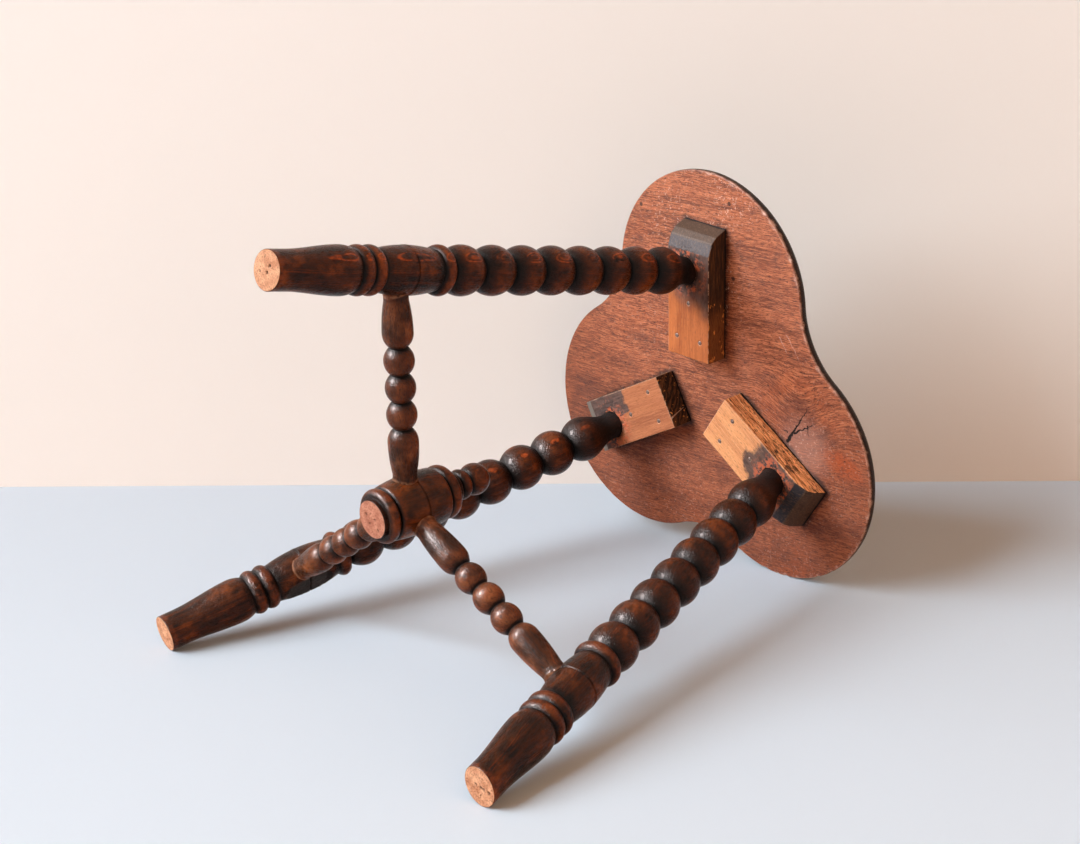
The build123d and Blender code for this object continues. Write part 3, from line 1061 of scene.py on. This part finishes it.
def trefoil(count):
    """Points evenly round the seat's rim and the directions inwards from them."""
    hollow = (lobe_reach**2 + waist_reach**2 - lobe_reach * waist_reach - lobe_radius**2) / (
        2 * lobe_radius - 2 * waist_reach + lobe_reach)
    far = waist_reach + hollow
    angles = np.radians(np.arange(0, 360, 0.05))
    lobe = np.abs((np.degrees(angles) - 30 - seat_turn + 60) % 120 - 60)
    meet = Vector((far / 2, far * math.sqrt(3) / 2)) - Vector((lobe_reach, 0))
    touch = Vector((lobe_reach, 0)) + meet.normalized() * lobe_radius
    limit = math.degrees(math.atan2(touch.y, touch.x))
    d, e = np.radians(lobe), np.radians(60 - lobe)
    lobe_half = np.maximum(lobe_radius**2 - (lobe_reach * np.sin(d)) ** 2, 0)
    hollow_half = np.maximum(hollow**2 - (far * np.sin(e)) ** 2, 0)
    outer = lobe_reach * np.cos(d) + np.sqrt(lobe_half)
    inner = far * np.cos(e) - np.sqrt(hollow_half)
    reach = np.where(lobe < limit, outer, inner)
    rim = np.stack([reach * np.cos(angles), reach * np.sin(angles)], 1)
    steps = np.linalg.norm(np.roll(rim, -1, 0) - rim, axis=1)
    walked = np.concatenate([[0], np.cumsum(steps)])
    even = np.linspace(0, walked[-1], count, endpoint=False)
    closed = np.vstack([rim, rim[:1]])
    points = np.stack([np.interp(even, walked, closed[:, i]) for i in (0, 1)], 1)
    ahead = np.roll(points, -1, 0) - np.roll(points, 1, 0)
    inwards = np.stack([-ahead[:, 1], ahead[:, 0]], 1)
    return points, inwards / np.linalg.norm(inwards, axis=1)[:, None]


def rim_rows():
    """How far inside the rim each row lies, its height, and whether the wood is bare."""
    rows = [(inset, 0.0, 1.0) for inset in (rim_band, 12.0, 9.0, 6.5, 4.5, 3.0, 2.0, 1.3)]
    for angle in np.radians([0, 30, 60, 90]):
        inset, height = arris * (1 - math.sin(angle)), arris * (1 - math.cos(angle))
        rows.append((inset, height, 1 - angle * 0.4))
    start = seat_thickness - edge_round
    for angle in np.radians(np.linspace(0, 90, 17)):
        inset, rise = edge_round * (1 - math.cos(angle)), edge_round * math.sin(angle)
        rows.append((inset, start + rise, 0.0))
    return rows + [(rim_band, seat_thickness, 0.0)]


points, inwards = trefoil(rim_count)
rows = [(rim_band, 0.0, 1.0, share) for share in np.linspace(0, 1, under_rows)[:-1]]
rows += [(*row, 1.0) for row in rim_rows()]
rows += [(rim_band, seat_thickness, 0.0, share) for share in np.linspace(1, 0, top_rows)[1:]]
layers, bare = [], []
for inset, height, is_bare, share in rows:
    ring = (points + inwards * inset) * share
    layers.append(np.column_stack([ring, np.full(rim_count, height)]))
    bare.append(np.full(rim_count, is_bare))
board = np.concatenate(layers)
bare = np.concatenate(bare)
faces = []
for row in range(len(rows) - 1):
    first = np.arange(rim_count) + row * rim_count
    after = (np.arange(rim_count) + 1) % rim_count + row * rim_count
    faces.append(np.stack([first, after, after + rim_count, first + rim_count], 1))
faces = np.concatenate(faces)
print("seat rim", round(float(np.abs(points).max()), 2), "rows", len(rows))

# %% [markdown]
# Real boards are never quite flat, and the lower edge of this one is chipped. Noise gives
# both: a slow swell over the faces, and small bites where noise along the rim runs high.
# The bites are carried on the mesh as well, so that the finish can show pale wood there,
# and so is a band round each block, where the finish paints dirt and shade. At the end the
# board is drawn in by a hair, so that it stays inside the imported model's box.

# %% Wear on the seat and the finished board


chip_depth, chip_lift = 1.2, 0.9
worn_azimuth = 228
dirt_and_shade_reach = 6.0
drawn_in = 0.9998
edge_gap = np.concatenate([
    np.full(rim_count, inset + 30 * (share < 1) + max(height - arris, 0))
    for inset, height, is_bare, share in rows])
nick = np.zeros(len(board))
near_edge = np.flatnonzero(edge_gap < 5)
edge_points, gap = board[near_edge], edge_gap[near_edge]
bite = noise_at(edge_points * (1, 1, 0.3), 0.16, 3) + 0.5 * noise_at(edge_points, 0.5, 4)
azimuth = np.degrees(np.arctan2(edge_points[:, 1], edge_points[:, 0])) % 360
from_worn = np.abs((azimuth - worn_azimuth + 180) % 360 - 180)
worn_side = 0.06 + 0.94 * np.clip((95 - from_worn) / 25, 0, 1)
depth = np.clip((bite - 0.16) * 3.0, 0, 1) * worn_side * np.clip(1 - gap / 3.0, 0, 1)
rubbed = worn_side * np.clip(1.4 - gap / 0.9, 0, 1) * np.clip(0.6 + 1.5 * bite, 0.15, 1)
nick[near_edge] = np.maximum(depth, rubbed * 0.8)
centre_way = -edge_points[:, :2] / np.linalg.norm(edge_points[:, :2], axis=1)[:, None]
board[near_edge, :2] += centre_way * depth[:, None] * chip_depth
board[near_edge, 2] += depth * chip_lift
swell = noise_at(board, 0.012, 5) * 0.35 + noise_at(board, 0.05, 6) * 0.08
board[:, 2] += np.where(board[:, 2] > 7, np.minimum(swell - 0.45, 0), np.maximum(swell + 0.15, 0))
# dirt and painted shade: a band on the underside round each block, carried on the mesh for the
# finish
dirt = np.zeros(len(board))
for station in stations.values():
    turn = math.radians(station["azimuth"] + station["block_turn"])
    head = outward(station["azimuth"], head_reach) + Vector((0, seat_forward, 0))
    x = (board[:, 0] - head.x) * math.cos(turn) + (board[:, 1] - head.y) * math.sin(turn)
    y = (board[:, 1] - head.y) * math.cos(turn) - (board[:, 0] - head.x) * math.sin(turn)
    beside = np.maximum(np.abs(x + socket_along - block_length / 2) - block_length / 2, 0)
    across = np.maximum(np.abs(y + socket_across) - block_width / 2, 0)
    near_block = np.clip(1 - np.hypot(beside, across) / dirt_and_shade_reach, 0, 1)
    dirt = np.maximum(dirt, near_block * (board[:, 2] < 4))
board[:, :2] *= drawn_in
board += np.array([0, -seat_forward, seat_underside]) + np.array(stool_foot)

seat_mesh = bpy.data.meshes.new("seat")
seat_mesh.from_pydata((board * mm).tolist(), [], faces.tolist())
carry(seat_mesh, bare=bare, nick=nick, dirt=dirt)
tidy_mesh(seat_mesh)
seat_mesh.shade_smooth()
seat_mesh.materials.append(seat_wood)
show(seat_mesh, "seat", "seat_wood", "seat")

# %% [markdown]
# ## The finish of the blocks
# Each block is a bare offcut. Its face is pale orange-tan with a dark smudge round the
# leg, where stain and glue ran. Its sides took some dark stain, the front block's long
# side still shows the rough saw cut, and the bevels of the outer end are nearly black.
# Crumbs of orange glue and wood stick round the leg. Each side could have a material of
# its own, but the stains run over the edges, so one material looks at the way a face is
# turned and mixes the sides softly. The three blocks differ only in their colours, in
# where the smudge ends and in which sides are rough, so one function makes all three
# finishes.

# %% Block finish


def split_place(vector):
    """The three parts of a position."""
    parts = vector.graph.node("ShaderNodeSeparateXYZ", {}, {"Vector": vector})
    return parts, parts["Y"], parts["Z"]


def board_face(own, tints):
    """The sawn face: figure, bright fibres and fine dark pores, stretched along X."""
    fibres = mottle(stretched(own, (0.06, 1, 1)), 900, 3.0, 0.6)
    figure = mottle(stretched(own, (0.12, 1, 1)), 110, 3.0)
    pores = mottle(stretched(own, (0.14, 1, 1)), 1700, 2.0)
    low, high, bright = tints
    face = coated(
        mixed(figure.between(0.35, 0.65), tint(*low), tint(*high)),
        (fibres.between(0.45, 0.65) * 0.5, bright),
        (pores.between(0.44, 0.34) * 0.5, (112, 62, 40)),
    )
    return face, fibres, pores


def block_finish(name, seed, face_tints, smudge, soft, ragged, raw_side, bevel_tints,
                 side_tints):
    """Bare sawn wood, smudged near the leg, with stained sides and dark bevels.

    The smudge says how far out its edge lies at the low side, in the middle and at the
    high side, and how far from the middle it reaches those sides' places.
    """
    graph, close = new_finish(name)
    spot = place_on(graph, "board")
    x, y, z = split_place(spot)
    own = graph.vector("ADD", spot, (seed, seed, seed))
    clouds = mottle(own, 60, 4.0, 0.65)
    crumbs = mottle(own, 260, 4.0, 0.7)
    blotch = mottle(stretched(own, (0.5, 1, 1)), 150, 4.0, 0.7)
    face, fibres, pores = board_face(own, face_tints)

    low_edge, middle_edge, high_edge, run = smudge
    edge = y.between(0, run * mm) * (high_edge - middle_edge) * mm + middle_edge * mm
    edge = edge + y.between(0, -run * mm) * (low_edge - middle_edge) * mm
    reach = x - edge + (clouds - 0.5) * ragged * mm
    dark = coated(
        mixed(blotch.between(0.35, 0.65), tint(48, 38, 38), tint(88, 68, 62)),
        (fibres.between(0.5, 0.7) * 0.4, (116, 92, 84)),
    )
    neck = from_point(spot, socket_along, socket_across)
    crusty = neck.between(0.026, 0.0145) * crumbs.between(0.46, 0.54) * clouds.between(0.42, 0.54)
    face = coated(
        mixed(reach.between(-soft * mm, soft * mm) * 0.94, face, dark),
        # painted shade: a dark ring on the face round the leg's neck
        (neck.between(0.0155, 0.0125) * 0.7, (30, 18, 15)),
        (crusty * 0.9, (198, 98, 60)),
        (neck.between(0.030, 0.014) * crumbs.between(0.40, 0.34), (34, 22, 20)),
    )

    flecks = mottle(stretched(own, (0.4, 1, 1)), 300, 2.0)
    outwards = (x + (clouds - 0.5) * 0.05).between(0.02, 0.065)
    side = coated(
        mixed(outwards, *(tint(*values) for values in side_tints)),
        (fibres.between(0.48, 0.66) * 0.45, (126, 80, 44)),
        (pores.between(0.46, 0.36) * 0.6, (28, 17, 12)),
        (flecks.between(0.62, 0.66) * x.between(0.062, 0.052), (216, 134, 66)),
    )
    scab = x.between(0.050, 0.058) * x.between(0.088, 0.078) * blotch.between(0.50, 0.60)
    raw = coated(
        mixed(fibres.between(0.38, 0.58), tint(190, 118, 72), tint(250, 178, 120)),
        (pores.between(0.45, 0.36), (64, 38, 27)),
        (scab * 0.85, (38, 30, 28)),
    )

    tilted = graph.node("ShaderNodeMapping", {}, {
        "Vector": own, "Rotation": (math.radians(-38), 0, 0)})
    ends = mottle(stretched(tilted, (1, 0.14, 1)), 620, 3.0, 0.6)
    end_place = graph.node("ShaderNodeCombineXYZ", {}, {"X": y, "Y": z})
    end = coated(
        mixed(ends.between(0.42, 0.62), tint(36, 23, 16), tint(98, 62, 38)),
        (flecks.between(0.66, 0.70), (206, 138, 74)),
        (crack(end_place, (-13.5, 1.0), (-9.0, 17.0), 0.8), (176, 140, 120)),
    )

    past_ridge = x.between(97 * mm, 98.5 * mm)
    bevel = coated(
        mixed(past_ridge, *(tint(*values) for values in bevel_tints)),
        (blotch.between(0.55, 0.7) * 0.6, (38, 30, 30)),
        (fibres.between(0.5, 0.65) * 0.25, (140, 106, 82)),
    )

    turn_x, turn_y, turn_z = split_place(place_on(graph, "facing"))
    on_low_side = turn_y.between(-0.55, -0.75)
    on_high_side = turn_y.between(0.55, 0.75)
    past_bevel = x.between(88.6 * mm, 89.6 * mm) * (1 - on_low_side) * (1 - on_high_side)
    skin = mixed(on_low_side, face, raw if raw_side else side)
    skin = mixed(on_high_side, skin, side)
    skin = mixed(turn_x.between(-0.55, -0.75), skin, end)
    seam_dirt_and_shade = (z + (clouds - 0.5) * 0.003).between(17.6 * mm, 18.6 * mm)
    worn_edge = turn_z.between(-0.35, -0.5) * turn_z.between(-0.97, -0.90) * (1 - past_bevel)
    skin = coated(
        mixed(past_bevel, skin, bevel),
        # dirt in the seam, darkened into a painted shadow line along the seat
        (seam_dirt_and_shade, (10, 7, 6)),
        (worn_edge * crumbs.between(0.42, 0.55) * 0.5, (206, 158, 126)),
    )
    relief = fibres * 0.8 + pores * 0.5 + crusty * 1.5
    return close({
        "Base Color": skin,
        "Specular IOR Level": 0.15,
        "Roughness": fibres * 0.2 + 0.55 - past_bevel * 0.05,
    }, relief, 0.5, 0.0005)


print("block finish is ready for", sorted(stations))

# %% [markdown]
# ## The blocks
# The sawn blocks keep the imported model's shape, with its sockets, but their surfaces are
# made rough. New boxes would be simple, but they would lose the true sockets and bevels.
# So a copy is turned into the block's own directions, rebuilt as a fine even skin by a
# voxel remesh, and pushed in and out: long shallow furrows along the grain, crumbs round
# the leg, and a torn surface on the raw side and the inner ends.

# %% Blocks


def block_matrix(station):
    """The block's own frame: X out along it, Y across, Z up from its face."""
    azimuth = station["azimuth"] + station["block_turn"]
    head = outward(station["azimuth"], head_reach, block_face)
    along, across = outward(azimuth), outward(azimuth + 90)
    origin = head - across * socket_across - along * socket_along
    turn = Matrix((along, across, up)).transposed().to_4x4()
    return Matrix.Translation((stool_foot + origin) * mm) @ turn


def fine_skin(name, matrix, voxel):
    """A copy of a CAD node, in its own frame, with an even skin of small faces."""
    mesh = frame["nodes"][name].data.copy()
    mesh.transform(matrix.inverted())
    shell = bmesh.new()
    shell.from_mesh(mesh)
    bmesh.ops.remove_doubles(shell, verts=shell.verts, dist=1e-5)
    shell.to_mesh(mesh)
    shell.free()
    holder = into_scene(name + "_copy", mesh)
    remesh = holder.modifiers.new("skin", "REMESH")
    remesh.mode = "VOXEL"
    remesh.voxel_size = voxel * mm
    remesh.use_smooth_shade = True
    made = baked(name, holder)
    made.materials.clear()
    return made


voxel_size = 0.6
crumb_height = 1.2
block_looks = {
    "front": dict(
        seed=0.31, smudge=(49, 43, 55, 22), soft=3.0, ragged=30, raw_side=True,
        face_tints=((206, 134, 86), (230, 160, 106), (242, 182, 132)),
        bevel_tints=((44, 42, 48), (76, 58, 48)),
        side_tints=((96, 60, 38), (44, 30, 24)),
    ),
    "right": dict(
        seed=1.73, smudge=(74, 62, 46, 4), soft=1.5, ragged=22, raw_side=False,
        face_tints=((156, 90, 56), (180, 110, 70), (198, 126, 84)),
        bevel_tints=((108, 100, 92), (92, 80, 70)),
        side_tints=((96, 62, 40), (60, 44, 36)),
    ),
    "left": dict(
        seed=2.57, smudge=(56, 47, 40, 22), soft=9.0, ragged=14, raw_side=False,
        face_tints=((162, 84, 36), (190, 106, 52), (206, 122, 64)),
        bevel_tints=((58, 52, 56), (76, 56, 42)),
        side_tints=((118, 70, 38), (50, 32, 23)),
    ),
}
for number, (key, station) in enumerate(stations.items()):
    name = "block_" + key
    matrix = block_matrix(station)
    mesh = fine_skin(name, matrix, voxel_size)
    local, facing = points_of(mesh) / mm, points_of(mesh, "normal")
    grain_way = local * (0.08, 1, 1)
    push = noise_at(grain_way, 0.9, number + 10) * 0.10 + noise_at(local, 0.06, number + 20) * 0.25
    torn = np.clip((-facing[:, 0] - 0.5) * 3, 0, 1)
    if block_looks[key]["raw_side"]:
        torn = np.maximum(torn, np.clip((-facing[:, 1] - 0.5) * 3, 0, 1))
    coarse = noise_at(grain_way, 0.55, number + 30) * 0.55
    fine = noise_at(grain_way, 1.6, number + 40) * 0.25
    push += torn * (coarse + fine)
    from_neck = np.hypot(local[:, 0] - socket_along, local[:, 1] - socket_across)
    lumps = np.clip(noise_at(local, 0.45, number + 50) - 0.15, 0, 1)
    lumps = lumps * np.clip((27 - from_neck) / 12, 0, 1)
    push += lumps * crumb_height * (facing[:, 2] < -0.5)
    inside = np.clip((local[:, 2] - 18.5), 0, 1) + (from_neck < 14)
    push = np.where(inside > 0, 0, push - 0.12)
    gap = np.clip((local[:, 2] - 18.3) / 1.2, 0, 1) * (np.abs(facing[:, 2]) < 0.8)
    push -= gap * 0.8
    carry(mesh, board=local * mm, facing=facing)
    put_points(mesh, (local + facing * push[:, None]) * mm)
    mesh.transform(matrix)
    mesh.materials.append(block_finish("sawn_block_" + key, **block_looks[key]))
    show(mesh, name, "block_wood", name)

# %% [markdown]
# ## Nails
# Three punched wire nails hold each block. Nine copies could be placed by hand, but nails
# that differ only in their tilt are work for instances: one nail is modelled, and
# Geometry Nodes set it on nine points, each turned by chance, and make the result real.

# %% Nails


def nail_finish(name):
    """Dull iron, rusty in places."""
    graph, close = new_finish(name)
    here = graph.node("ShaderNodeTexCoord")["Object"]
    rust = mottle(here, 700, 3.0)
    scratches = mottle(here, 3200, 2.0)
    skin = mixed(rust.between(0.4, 0.65), tint(112, 92, 80), tint(70, 44, 32))
    sockets = {"Base Color": skin, "Metallic": 0.3, "Roughness": rust * 0.4 + 0.3}
    return close(sockets, rust + scratches * 0.4, 0.5, 0.0002)


def nail_mesh():
    """One nail along Z: domed head at the bottom, shank, and a blunt point."""
    rings = [(0.0, 0.0), (0.7, 0.02), (1.25, 0.08), (1.6, 0.2), (1.7, 0.38), (1.66, 0.62),
             (1.4, 0.8), (1.0, 0.84), (1.0, 12.0), (1.0, 24.6), (0.2, 27.6), (0.0, 27.6)]
    count = 20
    shell = bmesh.new()
    loops = []
    for radius, height in rings:
        angles = [2 * math.pi * step / count for step in range(count)]
        loops.append([
            shell.verts.new(Vector((radius * math.cos(a), radius * math.sin(a), height)) * mm)
            for a in angles])
    for low, high in zip(loops, loops[1:]):
        for step in range(count):
            after = (step + 1) % count
            shell.faces.new((low[step], low[after], high[after], high[step]))
    mesh = bpy.data.meshes.new("nail")
    shell.to_mesh(mesh)
    shell.free()
    tidy_mesh(mesh)
    mesh.shade_smooth()
    return mesh


def scatter_tree():
    """Geometry Nodes that set a piece on every point, each turned a little by chance."""
    graph, given, close = new_tree("Set on Points", {
        "Piece": "Object", "Lean": "Float", "Seed": "Int"})
    piece = graph.node("GeometryNodeObjectInfo", {}, {"Object": given["Piece"]})["Geometry"]
    most = graph.node("ShaderNodeCombineXYZ", {}, {
        "X": given["Lean"], "Y": given["Lean"], "Z": 3.14})
    least = stretched(most, (-1, -1, -1))
    turn = graph.node("FunctionNodeRandomValue", {"data_type": "FLOAT_VECTOR"}, {
        "Min": least, "Max": most, "Seed": given["Seed"]})
    return close(graph.node("GeometryNodeInstanceOnPoints", {}, {
        "Points": given["Geometry"], "Instance": piece, "Rotation": turn}))


nail_places = (16.0, -12.5), (16.0, 12.5), (46.0, 0.0)
head_sunk = 0.02
nail_spots = []
for station in stations.values():
    for x, y in nail_places:
        nail_spots.append(block_matrix(station) @ Vector((x * mm, y * mm, head_sunk * mm)))
one_nail = bpy.data.objects.new("one_nail", nail_mesh())
spots_mesh = bpy.data.meshes.new("nail_spots")
spots_mesh.from_pydata(nail_spots, [], [])
nails = through_tree("block_nails", spots_mesh, scatter_tree(), {
    "Piece": one_nail, "Lean": 0.02, "Seed": 4, "Finish": nail_finish("rusty_wire_nail")})
bpy.data.objects.remove(one_nail)
show(nails, "block_nails", "nail_iron", "block_nails")

# %% [markdown]
# ## The camera
# The stool lies on its side on a table, and the camera looks at the underside of its
# seat. The model stands upright, so the camera is rolled instead: it stands where it
# would stand next to the fallen stool, and turns about its own line of sight.

# %% Camera

eye = Vector((-1.18349, -0.64728, -0.81274))
aim = Vector((-0.11889, 0.00442, 0.15645))
roll = math.radians(68.723)
forward = (aim - eye).normalized()
level = forward.cross(up).normalized()
right = level * math.cos(roll) + level.cross(forward) * math.sin(roll)
above = right.cross(forward)
camera_data = bpy.data.cameras.new("camera")
camera_data.sensor_width = 36.0
camera_data.lens = 76.59
camera_data.clip_start = 0.05
camera_data.clip_end = 50.0
camera = into_scene("camera", camera_data)
camera.matrix_world = (
    Matrix.Translation(eye) @ Matrix((right, above, -forward)).transposed().to_4x4()
)
bpy.context.scene.camera = camera
print("camera looks along", [round(v, 4) for v in forward])

# %% [markdown]
# ## Table and wall
# The table touches the stool at three points: the seat's rim, the front foot and the
# right foot. The wall stands square on it, close behind the seat. Both show only their
# front, so that they hide nothing when the stool is seen from behind, and they let the
# lamps' light through, so that they don't darken the back of the stool. The light that
# they send back to the stool is made warmer than their own colour, as in a warm room.

# %% Table and wall

warm_share = 0.6
wall_from_eye = 1.929
stage_reach = 3


def stage_finish(name, near, far, way, start, end):
    """A plain matt surface, seen from its front only, painted a little darker towards the corner
    where table and wall meet.
    """
    graph, close = new_finish(name)
    rays = graph.node("ShaderNodeLightPath")
    where = graph.node("ShaderNodeNewGeometry")
    front = 1 - where["Backfacing"]
    seen = (1 - rays["Is Shadow Ray"]) * front
    along = graph.vector("DOT_PRODUCT", where["Position"], way)["Value"]
    # painted shade: the tone darkens towards the corner where table and wall meet
    tone = mixed(along.between(start, end), tint(*near), tint(*far))
    tone = mixed(rays["Is Diffuse Ray"] * warm_share, tone, tint(200, 150, 106))
    matt = graph.node("ShaderNodeBsdfDiffuse", {}, {"Color": tone})
    clear = graph.node("ShaderNodeBsdfTransparent")
    return close(graph.node("ShaderNodeMixShader", {}, {0: seen, 1: clear, 2: matt}))


def stage_plane(name, corner, across, away, finish):
    """A flat sheet from a corner line, seen from the side of away x across."""
    mesh = bpy.data.meshes.new(name)
    corners = [corner + across, corner - across, corner - across + away, corner + across + away]
    mesh.from_pydata(corners, [], [(0, 1, 2, 3)])
    mesh.materials.append(finish)
    sheet = into_scene(name, mesh)


table_up = Vector((-0.8373, 0.5449, 0.0445)).normalized()
wall_out = Vector((-0.3851, -0.5301, -0.7555)).normalized()
lowest = min(
    min(table_up.dot(v.co) for v in node.data.vertices) for node in frame["nodes"].values()
)
wall_reach = wall_out.dot(eye) - wall_from_eye
sideways = table_up.cross(wall_out)
corner = table_up * lowest + wall_out * wall_reach + sideways * sideways.dot(aim)
print("table at", round(lowest, 4), "wall at", round(wall_reach, 4))
table_finish = stage_finish(
    "table_paint", (200, 214, 228), (210, 224, 238), wall_out, wall_reach, wall_reach + 0.8)
wall_finish = stage_finish(
    "wall_paint", (245, 246, 246), (247, 248, 249), table_up, lowest, lowest + 0.6)
stage_plane("table", corner, sideways * stage_reach, wall_out * stage_reach, table_finish)
stage_plane("wall", corner, -sideways * stage_reach, table_up * stage_reach, wall_finish)

# %% [markdown]
# ## Light
# Soft daylight comes from a window at the upper left, and one large, slightly blue area
# lamp stands for it. Three weaker lamps help. The first shows only in highlights, so that
# the old gloss catches a clear glint; the second softens the shaded side and is kept out
# of highlights; the third lights the top of the seat, which faces the wall. The world is
# the room: it fills the shadows with a weak warm light. To the camera, and to reflections
# and anything clear, it is a pale bright room, so that a glossy piece shows the same
# background that the eye sees.

# %% Lamps and world


def area_lamp(name, place, target, size, power, shade):
    """A large soft lamp that looks at a point."""
    data = bpy.data.lights.new(name, "AREA")
    data.shape = "RECTANGLE"
    data.size, data.size_y = size
    data.energy = power
    data.color = shade
    lamp = into_scene(name, data)
    turn = (place - target).to_track_quat("Z", "Y").to_matrix().to_4x4()
    lamp.matrix_world = Matrix.Translation(place) @ turn
    return lamp


middle = Vector((0, 0, 0.22))
window_way = -right * 0.83 + above * 0.40 - forward * 0.36
sheen_way = -right * 0.82 + above * 0.48 - forward * 0.30
fill_way = right * 0.5 + above * 0.3 - forward
back_way = -wall_out * 0.8 - table_up * 0.6
lamps = {}
for name, way, away, size, power, shade in (
    ("window", window_way, 8.0, (6.0, 6.0), 1070.0, (0.85, 0.945, 1.0)),
    ("sheen_window", sheen_way, 2.4, (0.6, 0.9), 400.0, (1.0, 0.88, 0.87)),
    ("room_fill", fill_way, 4.0, (3.0, 3.0), 30.0, (1.0, 0.76, 0.54)),
    ("back_fill", back_way, 2.0, (1.2, 1.2), 14.0, (1.0, 0.96, 0.9)),
):
    place = middle + way.normalized() * away
    lamps[name] = area_lamp(name, place, middle, size, power, shade)
lamps["sheen_window"].visible_diffuse = False
lamps["room_fill"].visible_glossy = False
world = bpy.data.worlds.new("room")
world.use_nodes = True
world.node_tree.nodes.clear()
room = Graph(world.node_tree)
rays = room.node("ShaderNodeLightPath")
shown = rays["Is Camera Ray"]
for kind in ("Is Glossy Ray", "Is Transmission Ray"):
    shown = shown.either(rays[kind])
fill_tint, room_tint = (1.0, 0.50, 0.22, 1.0), (1.0, 0.96, 0.92, 1.0)
fill_strength, room_strength = 0.34, 0.93
shade = mixed(shown, fill_tint, room_tint)
strength = mixed_value(shown, fill_strength, room_strength)
light = room.node("ShaderNodeBackground", {}, {"Color": shade, "Strength": strength})
room.node("ShaderNodeOutputWorld", {}, {"Surface": light})
bpy.context.scene.world = world
print("lamps", sorted(lamps))
